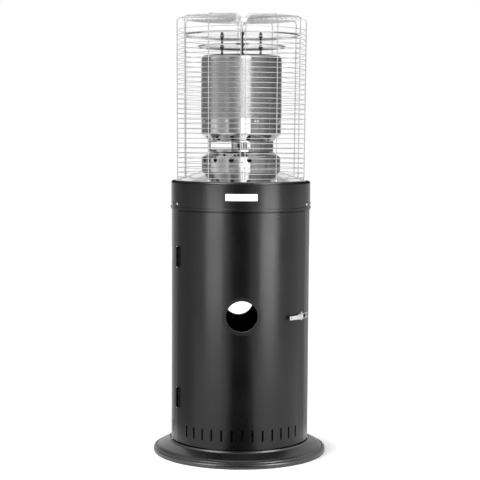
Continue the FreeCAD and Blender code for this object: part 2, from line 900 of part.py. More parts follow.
def venturi_tube():
    """Air and gas tube of the burner, flared at its lower end."""
    top = venturi_top
    bottom = top - venturi_length
    radius = venturi_diameter / 2.0
    path = [
        (radius + 5.0, bottom, 0),
        (radius, bottom + 10.0, 6.0),
        (radius, top, 0),
    ]
    tube = revolved(sheet_section(path, -venturi_wall))
    tube.translate(venturi_place())
    return tube


def burner_head():
    """Round cap on the burner tube that spreads the flame inside the emitter."""
    top = venturi_top
    radius = venturi_diameter / 2.0
    path = [
        (0.0, top + 14.0, 0),
        (radius + 22.0, top + 14.0, 6.0),
        (radius + 22.0, top - 2.0, 3.0),
        (radius + fit_gap, top - 6.0, 0),
    ]
    head = revolved(sheet_section(path, burner_dish_sheet))
    head.translate(venturi_place())
    return head


def gas_injector():
    """Brass injector under the mouth of the burner tube."""
    place = venturi_place()
    body = upright_rod(place, injector_diameter, injector_bottom, injector_top)
    nut = hexagon_block(place, 20.0, injector_bottom + 6.0, 9.0)
    return fused([body, nut]).cut(upright_rod(place, injector_bore, injector_top - 8.0,
                                              injector_top + 1.0))


def injector_bridge():
    """Bridge across the top plate's opening that carries the injector."""
    reach = plate_opening + bridge_lap
    bend = reach - bridge_foot
    low = bend - bridge_slope_run
    under = drum_bottom - plate_sheet
    path = [
        (-reach, under, 0),
        (-bend, under, 3.0),
        (-low, injector_bottom, 3.0),
        (low, injector_bottom, 3.0),
        (bend, under, 3.0),
        (reach, under, 0),
    ]
    strip = sheet_section(path, bridge_sheet)
    strip.translate(FreeCAD.Vector(0, -bridge_width / 2.0, 0))
    return strip.extrude(FreeCAD.Vector(0, bridge_width, 0))


def pilot_bracket():
    """Bent plate under the dish that holds the pilot, the probe and the electrode."""
    top = dish_level
    front = pilot_y
    plate = Part.makeBox(pilot_width, 1.5, pilot_height,
                         FreeCAD.Vector(pilot_x - pilot_width / 2.0, front, top - pilot_height))
    foot = Part.makeBox(pilot_width, 14.0, 1.5,
                        FreeCAD.Vector(pilot_x - pilot_width / 2.0, front, top - 1.5))
    shelf = Part.makeBox(pilot_width, 14.0, 1.5,
                         FreeCAD.Vector(pilot_x - pilot_width / 2.0, front,
                                        top - pilot_height + 18.0))
    holes = [upright_rod(FreeCAD.Vector(pilot_x + shift, front + 8.0, 0), bore,
                         top - pilot_height + 10.0, top - pilot_height + 30.0)
             for shift, bore in ((-3.4, 5.2), (3.2, 5.2))]
    return fused([plate, foot, shelf]).cut(holes)


def pilot_burner():
    """Small brass pilot jet in the bracket."""
    low = dish_level - pilot_height + 6.0
    place = FreeCAD.Vector(pilot_x - 3.4, pilot_y + 8.0, 0)
    seat = dish_level - pilot_height + 19.5
    return upright_rod(place, 5.0, low, seat + 12.0).fuse(upright_rod(place, 6.6, seat, seat + 6.0))


def igniter_electrode():
    """Ceramic rod with a metal tip beside the pilot."""
    place = FreeCAD.Vector(pilot_x + 3.2, pilot_y + 8.0, 0)
    seat = dish_level - pilot_height + 19.5
    rod = upright_rod(place, 5.0, seat - 14.0, seat + 14.0)
    return rod.fuse(upright_rod(place, 1.6, seat + 13.0, seat + 24.0))


# Gas valve, knob and pipe

def bezel():
    """Round plate on the band behind the knob."""
    face = radial_rod(180.0, knob_level, bezel_diameter, band_radius - 20.0, band_radius + 9.0)
    face = face.common(ring(band_radius, band_radius + bezel_sheet, knob_level - bezel_diameter,
                            knob_level + bezel_diameter))
    return face.cut(radial_rod(180.0, knob_level, bezel_bore, band_radius - 20.0,
                               band_radius + 9.0))


def valve_face():
    """Distance of the valve's outer face from the axis."""
    return band_radius - valve_setback


def gas_valve():
    """Brass valve body inside the band, bored for the stem."""
    outer = valve_face()
    body = radial_block(180.0, valve_width, outer - valve_depth, outer,
                        knob_level - valve_height / 2.0, knob_level + valve_height / 2.0)
    inlet = upright_rod(hose_end(), 14.0, knob_level - valve_height / 2.0 - 8.0,
                        knob_level - valve_height / 2.0)
    bore = radial_rod(180.0, knob_level, stem_diameter + 2.0 * running_clearance,
                      outer - stem_reach() - knob_push - 2.0, outer + 1.0)
    return body.fuse(inlet).cut(bore)


def stem_reach():
    return 16.0


def hose_end():
    return FreeCAD.Vector(0, valve_face() - valve_depth / 2.0, 0)


def valve_bracket():
    """Angle plate on the bulkhead that carries the valve."""
    outer = valve_face()
    low = bulkhead_top
    high = knob_level - valve_height / 2.0
    side = valve_width / 2.0
    shapes = [
        radial_block(180.0, valve_width, outer - valve_depth, outer, high - 2.0, high),
        radial_block(180.0, valve_width, outer - valve_depth, outer - valve_depth + 2.0, low, high),
        radial_block(180.0, valve_width, outer - valve_depth - 14.0, outer - valve_depth + 2.0,
                     low, low + 2.0),
    ]
    bracket = fused(shapes)
    return bracket.cut(upright_rod(hose_end(), 14.0 + 2.0 * fit_gap, high - 9.0, high + 1.0))


def valve_stem():
    """Stem that the knob sits on; it is pushed in to start the pilot."""
    outer = valve_face()
    return radial_rod(180.0, knob_level, stem_diameter, outer - stem_reach(), knob_seat() + 14.0)


def knob_seat():
    """Distance of the knob's inner face from the axis."""
    return band_radius + bezel_sheet + knob_push + 1.0


def control_knob():
    """Round grip with finger flutes and a raised bar across its face."""
    inner = knob_seat()
    body = radial_rod(180.0, knob_level, knob_diameter, inner, inner + knob_depth)
    flutes = []
    for index in range(knob_lobes):
        angle = math.radians(index * 360.0 / knob_lobes)
        reach = knob_diameter / 2.0 + 2.2
        place = FreeCAD.Vector(reach * math.sin(angle), inner + 6.0,
                               knob_level + reach * math.cos(angle))
        flutes.append(Part.makeCylinder(4.0, knob_depth, place, FreeCAD.Vector(0, 1, 0)))
    body = body.cut(flutes)
    bar = Part.makeBox(7.0, 5.0, knob_diameter - 8.0,
                       FreeCAD.Vector(-3.5, inner + knob_depth - 1.0,
                                      knob_level - knob_diameter / 2.0 + 4.0))
    body = body.fuse(bar)
    bore = radial_rod(180.0, knob_level, stem_diameter + 2.0 * running_clearance,
                      inner - 1.0, inner + 15.0)
    return body.cut(bore)


def gas_pipe():
    """Pipe from the valve to the injector, bent twice."""
    start = FreeCAD.Vector(0, valve_face() - valve_depth, knob_level)
    end = FreeCAD.Vector(venturi_x, 0, injector_bottom - bridge_sheet)
    turn = 16.0
    corner = FreeCAD.Vector(venturi_x, 0, knob_level)
    knee = FreeCAD.Vector(0, 60.0, knob_level)
    back = (knee - corner).normalize()
    rise = turn
    first = line(start, knee)
    second = line(knee, corner + back * rise)
    bend_middle = corner + (back + UP).normalize() * (rise * math.sqrt(2.0) - rise)
    bend = Part.Arc(corner + back * rise, bend_middle, corner + UP * rise).toShape()
    last = line(corner + UP * rise, end)
    shapes = []
    for edge in (first, second, bend, last):
        shapes.append(pipe_along(edge))
    shapes.append(Part.makeSphere(gas_tube_diameter / 2.0, knee))
    return fused(shapes)


def pipe_along(edge):
    """Round pipe along one edge."""
    start = edge.valueAt(edge.FirstParameter)
    tangent = edge.tangentAt(edge.FirstParameter)
    circle = Part.Wire(Part.makeCircle(gas_tube_diameter / 2.0, start, tangent))
    return Part.Wire(edge).makePipe(Part.Face(circle))


def gas_inlet():
    """Brass inlet under the valve, where the hose screws on."""
    place = hose_end()
    top = knob_level - valve_height / 2.0 - 8.0
    body = upright_rod(place, 12.0, top - 10.0, top)
    return body.fuse(hexagon_block(place, 17.0, top - 8.0, 7.0))


def tilt_switch():
    """Switch on the bulkhead that shuts the gas off when the heater falls over."""
    box = Part.makeBox(34.0, 22.0, 26.0, FreeCAD.Vector(70.0, -60.0, bulkhead_top))
    feet = Part.makeBox(54.0, 14.0, 2.0, FreeCAD.Vector(60.0, -56.0, bulkhead_top))
    return box.fuse(feet)


# Guard

def guard_bottom():
    """Level of the guard's lowest ring, on the slope of the top plate."""
    slope = (drum_bottom - plate_cone_level) / (plate_cone_radius - plate_land_radius)
    return plate_cone_level + slope * (plate_cone_radius - guard_radius) + guard_seat_gap


def guard_reach(level):
    """Radius of the guard at a level; it widens a little towards its top."""
    return guard_radius + guard_flare * (level - guard_bottom()) / guard_height


def bent_bar(inner_end, top, both_ends=False):
    """Bar that stands at the guard's side and bends inwards over its top."""
    path = [
        (guard_radius, guard_bottom(), 0),
        (guard_reach(top), top, guard_corner),
        (inner_end, top, 0),
    ]
    if both_ends:
        path = path[:2] + [(-radius, level, corner) for radius, level, corner in path[1::-1]]
    section = sheet_section(path, -guard_bar)
    section.translate(FreeCAD.Vector(0, -guard_bar / 2.0, 0))
    return section.extrude(FreeCAD.Vector(0, guard_bar, 0))


def guard_half(side):
    """Half of the wire guard: upright bars, a hoop at the joint, and rings inside them."""
    shapes = []
    top = guard_bottom() + guard_height
    hoop = bent_bar(0.0, top - guard_hoop_drop, True)
    hoop.rotate(ORIGIN, UP, 90.0)
    hoop.translate(FreeCAD.Vector(guard_split, 0, 0))
    shapes.append(hoop)
    for azimuth in guard_bar_azimuths:
        inner_end = guard_split / math.sin(math.radians(azimuth))
        bar = bent_bar(inner_end, top)
        bar.rotate(ORIGIN, UP, azimuth - 90.0)
        shapes.append(bar)
    level = guard_bottom()
    while level < top - guard_corner - guard_hoop_drop - guard_wire:
        shapes.append(guard_ring(guard_reach(level) - guard_bar + guard_bite, level, guard_split))
        level += guard_ring_pitch
    radius = guard_reach(top) - guard_corner
    below = top - guard_bar + guard_bite - guard_wire
    while radius > guard_hoop_link + guard_ring_pitch / 2.0:
        shapes.append(guard_ring(radius, below, guard_split + guard_hoop_link))
        shapes += hoop_links(radius, below)
        radius -= guard_ring_pitch
    half = fused(shapes)
    if side < 0:
        half = half.mirror(ORIGIN, FreeCAD.Vector(1, 0, 0))
    return half


def hoop_links(radius, level):
    """Sloping ends of a wire on top of the guard, down to the hoop at both sides."""
    outer = guard_split + guard_hoop_link
    reach = math.sqrt(radius ** 2 - outer ** 2)
    corners = [
        FreeCAD.Vector(guard_split, -reach, level - guard_hoop_drop),
        FreeCAD.Vector(guard_split, -reach, level - guard_hoop_drop + guard_wire),
        FreeCAD.Vector(outer, -reach, level + guard_wire),
        FreeCAD.Vector(outer, -reach, level),
    ]
    link = Part.Face(Part.makePolygon(corners + corners[:1])).extrude(
        FreeCAD.Vector(0, guard_wire, 0))
    return [link, link.mirror(ORIGIN, FRONT)]


def guard_ring(outer, level, end):
    """Half ring of wire up to a distance from the joint, in chords between the bars."""
    inner = outer - guard_wire
    start = math.degrees(math.asin(end / outer))
    bars = tuple(azimuth for azimuth in guard_bar_azimuths if start < azimuth < 180.0 - start)
    stops = (start,) + bars + (180.0 - start,)
    azimuths = [start]
    for low, high in zip(stops, stops[1:]):
        for index in range(1, guard_ring_chords + 1):
            azimuths.append(low + (high - low) * index / guard_ring_chords)
    outline = [at_azimuth(outer, azimuth, level) for azimuth in azimuths]
    outline += [at_azimuth(inner, azimuth, level) for azimuth in reversed(azimuths)]
    return Part.Face(Part.makePolygon(outline + outline[:1])).extrude(UP * guard_wire)


def guard_clips():
    """Clips that tie the two halves of the guard together at the front and the back."""
    clips = []
    top = guard_bottom() + guard_height
    width = 2.0 * guard_split + guard_bar + 1.6
    for azimuth in (0.0, 180.0):
        for level in (guard_bottom() + 40.0, top - 30.0):
            inner = guard_reach(level + 12.0) + fit_gap
            clips.append(radial_block(azimuth, width, inner, inner + 1.6, level, level + 12.0))
    return Part.Compound(clips)


def guard_foot_places():
    """Middles of the guard's feet, under its bars at both sides."""
    radius = guard_radius - guard_bar / 2.0
    azimuths = [guard_bar_azimuths[index] for index in (0, 2, 4)]
    return [at_azimuth(radius, side * azimuth) for side in (-1.0, 1.0) for azimuth in azimuths]


def guard_feet():
    """Studs that hold the guard above the slope of the top plate."""
    return Part.Compound([
        upright_rod(place, guard_foot_stud, guard_bottom() - guard_foot_length, guard_bottom())
        for place in guard_foot_places()
    ])


PARTS = {
    "base_pan": base_pan,
    "cylinder_floor": cylinder_floor,
    "housing_shell": housing_shell,
    "foot_ring": foot_ring,
    "head_ring": head_ring,
    "front_door": front_door,
    "door_foot_strip": lambda: door_strip(door_bottom),
    "door_head_strip": lambda: door_strip(door_top - housing_sheet),
    "door_hole_collar": lambda: hand_hole_collar(0.0),
    "rear_hole_collar": lambda: hand_hole_collar(180.0),
    "hinge_upper_frame_leaf": lambda: hinge_leaf_piece(hinge_upper_level, False),
    "hinge_upper_door_leaf": lambda: hinge_leaf_piece(hinge_upper_level, True),
    "hinge_upper_pin": lambda: hinge_pin(hinge_upper_level),
    "hinge_lower_frame_leaf": lambda: hinge_leaf_piece(hinge_lower_level, False),
    "hinge_lower_door_leaf": lambda: hinge_leaf_piece(hinge_lower_level, True),
    "hinge_lower_pin": lambda: hinge_pin(hinge_lower_level),
    "latch_base": latch_base,
    "latch_lever": latch_lever,
    "latch_pin": latch_pin,
    "latch_bail": latch_bail,
    "latch_keeper": latch_keeper,
    "control_band": control_band,
    "bulkhead": bulkhead,
    "top_plate": top_plate,
    "lower_drum": lower_drum,
    "neck_ring": neck_ring,
    "burner_cup": burner_cup,
    "access_cover": access_cover,
    "emitter_screen": emitter_screen,
    "emitter_cap": emitter_cap,
    "reflector_rods": reflector_rods,
    "lower_reflector": lambda: reflector_disc(lower_disc_radius, lower_disc_top),
    "upper_reflector": lambda: reflector_disc(upper_disc_radius, upper_disc_top),
    "burner_dish": burner_dish,
    "venturi_tube": venturi_tube,
    "burner_head": burner_head,
    "gas_injector": gas_injector,
    "injector_bridge": injector_bridge,
    "pilot_bracket": pilot_bracket,
    "pilot_burner": pilot_burner,
    "igniter_electrode": igniter_electrode,
    "knob_bezel": bezel,
    "gas_valve": gas_valve,
    "valve_bracket": valve_bracket,
    "valve_stem": valve_stem,
    "control_knob": control_knob,
    "gas_pipe": gas_pipe,
    "gas_inlet": gas_inlet,
    "tilt_switch": tilt_switch,
    "guard_left": lambda: guard_half(-1.0),
    "guard_right": lambda: guard_half(1.0),
    "guard_clips": guard_clips,
    "guard_feet": guard_feet,
}


def main():
    os.makedirs("parts", exist_ok=True)
    for name, make in PARTS.items():
        shape = make()
        shape.exportStep("parts/" + name + ".step")
        print(name, len(shape.Solids), "solids, valid", shape.isValid(),
              "volume", round(shape.Volume / 1000.0, 2), "cm3")


main()
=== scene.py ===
"""Looks of a round gas patio heater, built on its packed construction.

Metres, +Z up, the door faces -Y. Azimuths are degrees from the front, growing towards +X.
"""

import json
import logging
import math
import random
from dataclasses import dataclass, field
from enum import Enum
from typing import Callable, Iterable, Sequence

import bpy
from mathutils import Matrix, Vector

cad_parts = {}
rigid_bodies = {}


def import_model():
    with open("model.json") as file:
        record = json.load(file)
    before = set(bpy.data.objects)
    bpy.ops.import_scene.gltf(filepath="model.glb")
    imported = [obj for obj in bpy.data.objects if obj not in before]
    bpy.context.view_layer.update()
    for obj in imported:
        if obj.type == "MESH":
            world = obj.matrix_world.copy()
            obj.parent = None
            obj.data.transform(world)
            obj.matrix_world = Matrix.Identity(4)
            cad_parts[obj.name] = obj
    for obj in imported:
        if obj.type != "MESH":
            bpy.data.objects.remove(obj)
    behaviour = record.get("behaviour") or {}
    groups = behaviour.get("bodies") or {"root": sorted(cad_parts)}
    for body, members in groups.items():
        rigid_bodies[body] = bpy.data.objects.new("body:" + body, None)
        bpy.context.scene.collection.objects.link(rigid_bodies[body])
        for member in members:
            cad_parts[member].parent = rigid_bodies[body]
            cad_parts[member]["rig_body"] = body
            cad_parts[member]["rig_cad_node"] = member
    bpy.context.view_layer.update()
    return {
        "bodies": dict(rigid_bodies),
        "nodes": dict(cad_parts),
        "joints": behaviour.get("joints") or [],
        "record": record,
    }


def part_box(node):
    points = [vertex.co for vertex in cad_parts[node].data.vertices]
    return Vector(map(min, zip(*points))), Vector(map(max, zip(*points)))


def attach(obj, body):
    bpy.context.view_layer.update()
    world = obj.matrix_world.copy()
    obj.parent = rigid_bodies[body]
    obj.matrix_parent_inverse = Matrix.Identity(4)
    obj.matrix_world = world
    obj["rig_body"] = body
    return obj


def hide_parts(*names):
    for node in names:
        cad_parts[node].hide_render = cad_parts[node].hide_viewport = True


LOG = logging.getLogger("patio_heater")
AXIS_GAP = 0.0006
WHITE = (1.0, 1.0, 1.0, 1.0)
BLACK = (0.0, 0.0, 0.0, 1.0)
UPRIGHT = (math.pi / 2.0, 0.0, 0.0)
TINY = 1e-9
NOISE_BAND = (0.3, 0.7)

Outline = list[tuple[float, float]]
Steps = tuple[tuple[float, float], ...]


class Body(Enum):
    """Moving bodies of the heater."""

    HEATER = "heater"
    DOOR = "door"
    LEVER = "latch_lever"
    BAIL = "latch_bail"
    STEM = "valve_stem"
    KNOB = "control_knob"


def at_azimuth(radius: float, azimuth: float, level: float = 0.0) -> Vector:
    """Point at a radius and an azimuth from the front."""
    angle = math.radians(azimuth)
    return Vector((radius * math.sin(angle), -radius * math.cos(angle), level))


def facing(azimuth: float, radius: float, level: float) -> Matrix:
    """Placement on a round wall.

    Args:
        azimuth: Azimuth of the place.
        radius: Radius of the wall.
        level: Level of the place.

    Returns:
        Placement whose local +Z points outwards and whose local +Y points up.
    """
    turn = Matrix.Rotation(math.radians(azimuth), 4, "Z")
    lean = Matrix.Rotation(math.radians(90.0), 4, "X")
    return Matrix.Translation(at_azimuth(radius, azimuth, level)) @ turn @ lean


def rounded(points: Sequence[tuple[float, float, float]], steps: int = 6) -> Outline:
    """Path through (radius, level, corner radius) points with round corners.

    Args:
        points: Corners of the path; the first and the last stay sharp.
        steps: Chords of each round corner.

    Returns:
        Points of the path as (radius, level).
    """
    spots = [Vector(point[:2]) for point in points]
    path = [spots[0]]
    for before, here, after, point in zip(spots, spots[1:], spots[2:], points[1:]):
        if point[2] <= 0.0:
            path.append(here)
            continue
        back = (before - here).normalized()
        ahead = (after - here).normalized()
        half = back.angle(ahead) / 2.0
        centre = here + (back + ahead).normalized() * (point[2] / math.sin(half))
        first = here + back * (point[2] / math.tan(half)) - centre
        last = here + ahead * (point[2] / math.tan(half)) - centre
        for step in range(steps + 1):
            path.append(centre + first.slerp(last, step / steps) * point[2])
    path.append(spots[-1])
    return [(spot.x, spot.y) for spot in path]


def walled(path: Outline, thickness: float, sharpest: float = 0.3) -> Outline:
    """Closed outline of a sheet whose wall lies to the right of a path.

    Args:
        path: Path of the sheet's one face.
        thickness: Sheet thickness; a negative one puts the wall to the left.
        sharpest: Cosine of half the sharpest turn that the wall follows in full.

    Returns:
        The path followed by its offset, walked back.
    """
    spots = [Vector(point) for point in path]
    inner = []
    for index, spot in enumerate(spots):
        before = spots[max(index - 1, 0)]
        after = spots[min(index + 1, len(spots) - 1)]
        ways = [way.normalized() for way in (spot - before, after - spot) if way.length > TINY]
        sides = [Vector((way.y, -way.x)) for way in ways]
        side = sum(sides, Vector((0.0, 0.0))).normalized()
        inner.append(spot + side * (thickness / max(side.dot(sides[0]), sharpest)))
    return [tuple(spot) for spot in spots + inner[::-1]]


def held(path: Outline, near: float = 0.0008) -> Outline:
    """Adds points near both ends of each long stretch, which keep its shading straight.

    Args:
        path: Path of a section.
        near: Distance of the new points from the ends.

    Returns:
        The path with its new points.
    """
    full = [path[0]]
    for start, end in zip(path, path[1:]):
        way = Vector(end) - Vector(start)
        if way.length > 4.0 * near:
            step = way.normalized() * near
            full += [tuple(Vector(start) + step), tuple(Vector(end) - step)]
        full.append(end)
    return full


class Bench:
    """Modelling steps, done with Blender's own operators as by hand."""

    SMOOTH = 35.0
    BEVELLED_SMOOTH = 40.0
    WIRE_SMOOTH = 60.0
    DOUBLES = 1e-6
    NODE_DOUBLES = 1e-5
    NODE_FLAT = 1.0

    @staticmethod
    def clear() -> None:
        """Leaves edit mode and deselects everything."""
        if bpy.context.mode != "OBJECT":
            bpy.ops.object.mode_set(mode="OBJECT")
        bpy.ops.object.select_all(action="DESELECT")

    @staticmethod
    def edit() -> None:
        """Edits the active object with everything in it selected."""
        bpy.ops.object.mode_set(mode="EDIT")
        bpy.ops.mesh.select_all(action="SELECT")

    @staticmethod
    def activate(piece: bpy.types.Object) -> None:
        """Makes a piece the only selected one."""
        Bench.clear()
        piece.select_set(True)
        bpy.context.view_layer.objects.active = piece

    @staticmethod
    def pick(piece: bpy.types.Object, test: Callable[[bpy.types.MeshPolygon], bool]) -> None:
        """Edits a piece with only some of its faces selected.

        Args:
            piece: Piece to edit.
            test: Says of a face whether it is selected.
        """
        Bench.activate(piece)
        bpy.ops.object.mode_set(mode="EDIT")
        bpy.ops.mesh.select_mode(type="FACE")
        bpy.ops.mesh.select_all(action="DESELECT")
        bpy.ops.object.mode_set(mode="OBJECT")
        for face in piece.data.polygons:
            face.select = test(face)
        bpy.ops.object.mode_set(mode="EDIT")

    @staticmethod
    def applied() -> bpy.types.Object:
        """The new piece, with its place, turn and size moved into its mesh."""
        bpy.ops.object.transform_apply()
        return bpy.context.active_object

    @staticmethod
    def lifted(way: Sequence[float]) -> None:
        """Extrudes the selected edges along a way."""
        bpy.ops.mesh.extrude_edges_move(TRANSFORM_OT_translate={"value": way})

    @staticmethod
    def scaled(ratio: float) -> None:
        """Scales what is selected towards or away from the middle axis."""
        bpy.ops.transform.resize(value=(ratio, ratio, 1), center_override=(0, 0, 0))

    @staticmethod
    def capped() -> None:
        """Closes every open edge of the piece that is edited."""
        bpy.ops.mesh.select_all(action="SELECT")
        bpy.ops.mesh.fill_holes(sides=0)

    @staticmethod
    def named(piece: bpy.types.Object, name: str) -> bpy.types.Object:
        """Names a piece and its mesh."""
        piece.name = piece.data.name = name
        return piece

    @staticmethod
    def tidy(name: str, smooth: float = SMOOTH) -> bpy.types.Object:
        """Merges doubles, turns faces outwards and leaves edit mode.

        Args:
            name: Name of the finished piece.
            smooth: Edges sharper than this angle stay sharp.

        Returns:
            The finished piece.
        """
        bpy.ops.mesh.select_all(action="SELECT")
        bpy.ops.mesh.remove_doubles(threshold=Bench.DOUBLES)
        bpy.ops.mesh.normals_make_consistent(inside=False)
        bpy.ops.object.mode_set(mode="OBJECT")
        bpy.ops.object.shade_smooth_by_angle(angle=math.radians(smooth))
        return Bench.named(bpy.context.active_object, name)

    @staticmethod
    def turned(name: str, outline: Outline, steps: int = 192, looped: bool = True
               ) -> bpy.types.Object:
        """Round piece: a circle extruded and scaled from point to point of its outline.

        Args:
            name: Name of the piece.
            outline: Section as (radius, level) points.
            steps: Sides of the circle.
            looped: Whether the outline closes on itself; otherwise its two ends are capped.

        Returns:
            The finished piece.
        """
        Bench.clear()
        radius, level = outline[0]
        bpy.ops.mesh.primitive_circle_add(vertices=steps, radius=radius, location=(0, 0, level))
        Bench.applied()
        Bench.edit()
        path = held(outline + outline[:1] if looped else outline)
        for next_radius, next_level in path[1:]:
            Bench.lifted((0, 0, next_level - level))
            Bench.scaled(next_radius / radius)
            radius, level = next_radius, next_level
        if not looped:
            Bench.capped()
        return Bench.tidy(name)

    @staticmethod
    def swept(name: str, outline: Sequence[tuple[float, float]], start: float, sweep: float,
              steps: int = 24) -> bpy.types.Object:
        """Curved bar: a flat section spun about the middle axis and closed at both ends.

        Args:
            name: Name of the piece.
            outline: Two opposite corners of the section as (radius, level).
            start: Azimuth of its first end.
            sweep: Degrees that it runs.
            steps: Chords of the sweep.

        Returns:
            The finished piece.
        """
        Bench.clear()
        (inner, low), (outer, high) = outline
        turn = math.radians(start - 90.0)
        middle = at_azimuth((inner + outer) / 2.0, start, (low + high) / 2.0)
        bpy.ops.mesh.primitive_plane_add(size=1.0, location=middle, rotation=(math.pi / 2, 0, turn))
        bpy.context.active_object.scale = (outer - inner, high - low, 1.0)
        Bench.applied()
        Bench.edit()
        bpy.ops.mesh.spin(steps=steps, angle=-math.radians(sweep), center=(0, 0, 0),
                          axis=(0, 0, 1))
        Bench.capped()
        return Bench.tidy(name)

    @staticmethod
    def rod(name: str, start: Vector, end: Vector, diameter: float, sides: int = 16,
            ends: float = 0.0) -> bpy.types.Object:
        """Round or many-sided rod between two points.

        Args:
            name: Name of the piece.
            start: Middle of its first end.
            end: Middle of its other end.
            diameter: Diameter over the corners.
            sides: Number of sides.
            ends: Chamfer at both ends.

        Returns:
            The finished piece.
        """
        Bench.clear()
        way = end - start
        turn = way.to_track_quat("Z", "Y").to_euler()
        bpy.ops.mesh.primitive_cylinder_add(vertices=sides, radius=diameter / 2.0,
                                            depth=way.length, location=(start + end) / 2.0,
                                            rotation=turn)
        piece = Bench.applied()
        if ends > 0.0:
            Bench.bevel(piece, ends, angle=60.0)
            Bench.activate(piece)
        Bench.edit()
        return Bench.tidy(name)

    @staticmethod
    def bevel(piece: bpy.types.Object, width: float, segments: int = 2,
              angle: float = 30.0) -> bpy.types.Object:
        """Rounds a piece's sharp edges with an applied Bevel modifier.

        Args:
            piece: Piece to round.
            width: Width of the bevel.
            segments: Segments of the bevel.
            angle: Edges sharper than this angle are rounded.

        Returns:
            The same piece.
        """
        Bench.activate(piece)
        modifier = piece.modifiers.new("edges", "BEVEL")
        modifier.width = width
        modifier.segments = segments
        modifier.limit_method = "ANGLE"
        modifier.angle_limit = math.radians(angle)
        modifier.use_clamp_overlap = True
        bpy.ops.object.modifier_apply(modifier=modifier.name)
        bpy.ops.object.shade_smooth_by_angle(angle=math.radians(Bench.BEVELLED_SMOOTH))
        return piece

    @staticmethod
    def cut(piece: bpy.types.Object, cutter: bpy.types.Object) -> None:
        """Cuts one piece with another.

        Args:
            piece: Piece that is cut.
            cutter: Piece whose room is taken out, and which is used up.
        """
        Bench.activate(piece)
        modifier = piece.modifiers.new("cut", "BOOLEAN")
        modifier.object = cutter
        modifier.operation = "DIFFERENCE"
        modifier.solver = "EXACT"
        bpy.ops.object.modifier_apply(modifier=modifier.name)
        bpy.data.objects.remove(cutter)
        bpy.ops.object.shade_smooth_by_angle(angle=math.radians(Bench.SMOOTH))

    @staticmethod
    def copied(model: bpy.types.Object, places: Iterable[Matrix], name: str) -> bpy.types.Object:
        """Copies a model, each copy with its own mesh, and joins the copies into one piece.

        Args:
            model: Piece to copy, which is used up.
            places: Placement of each copy.
            name: Name of the joined piece.

        Returns:
            The joined piece.
        """
        copies = []
        for place in places:
            copy = model.copy()
            copy.data = model.data.copy()
            bpy.context.scene.collection.objects.link(copy)
            copy.matrix_world = place
            copies.append(copy)
        bpy.data.objects.remove(model)
        return Bench.joined(copies, name)

    @staticmethod
    def joined(parts: Sequence[bpy.types.Object], name: str) -> bpy.types.Object:
        """Joins pieces into one whose object sits at the origin.

        Args:
            parts: Pieces to join.
            name: Name of the joined piece.

        Returns:
            The joined piece.
        """
        Bench.clear()
        for part in parts:
            part.select_set(True)
        bpy.context.view_layer.objects.active = parts[0]
        bpy.ops.object.transform_apply()
        bpy.ops.object.join()
        return Bench.named(bpy.context.active_object, name)

    @staticmethod
    def refined(node: str, width: float, segments: int = 2) -> bpy.types.Object:
        """Copy of a CAD node with its doubles merged and its edges rounded.

        Args:
            node: CAD node to copy.
            width: Width of the rounding.
            segments: Segments of the rounding.

        Returns:
            The copy, which doesn't replace the node yet.
        """
        Bench.activate(bpy.data.objects[node])
        bpy.ops.object.duplicate()
        piece = bpy.context.active_object
        piece.parent = None
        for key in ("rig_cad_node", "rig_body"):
            if key in piece:
                del piece[key]
        Bench.edit()
        bpy.ops.mesh.customdata_custom_splitnormals_clear()
        bpy.ops.mesh.remove_doubles(threshold=Bench.NODE_DOUBLES)
        bpy.ops.mesh.dissolve_limited(angle_limit=math.radians(Bench.NODE_FLAT))
        return Bench.bevel(Bench.tidy(node + "_dressed"), width, segments)


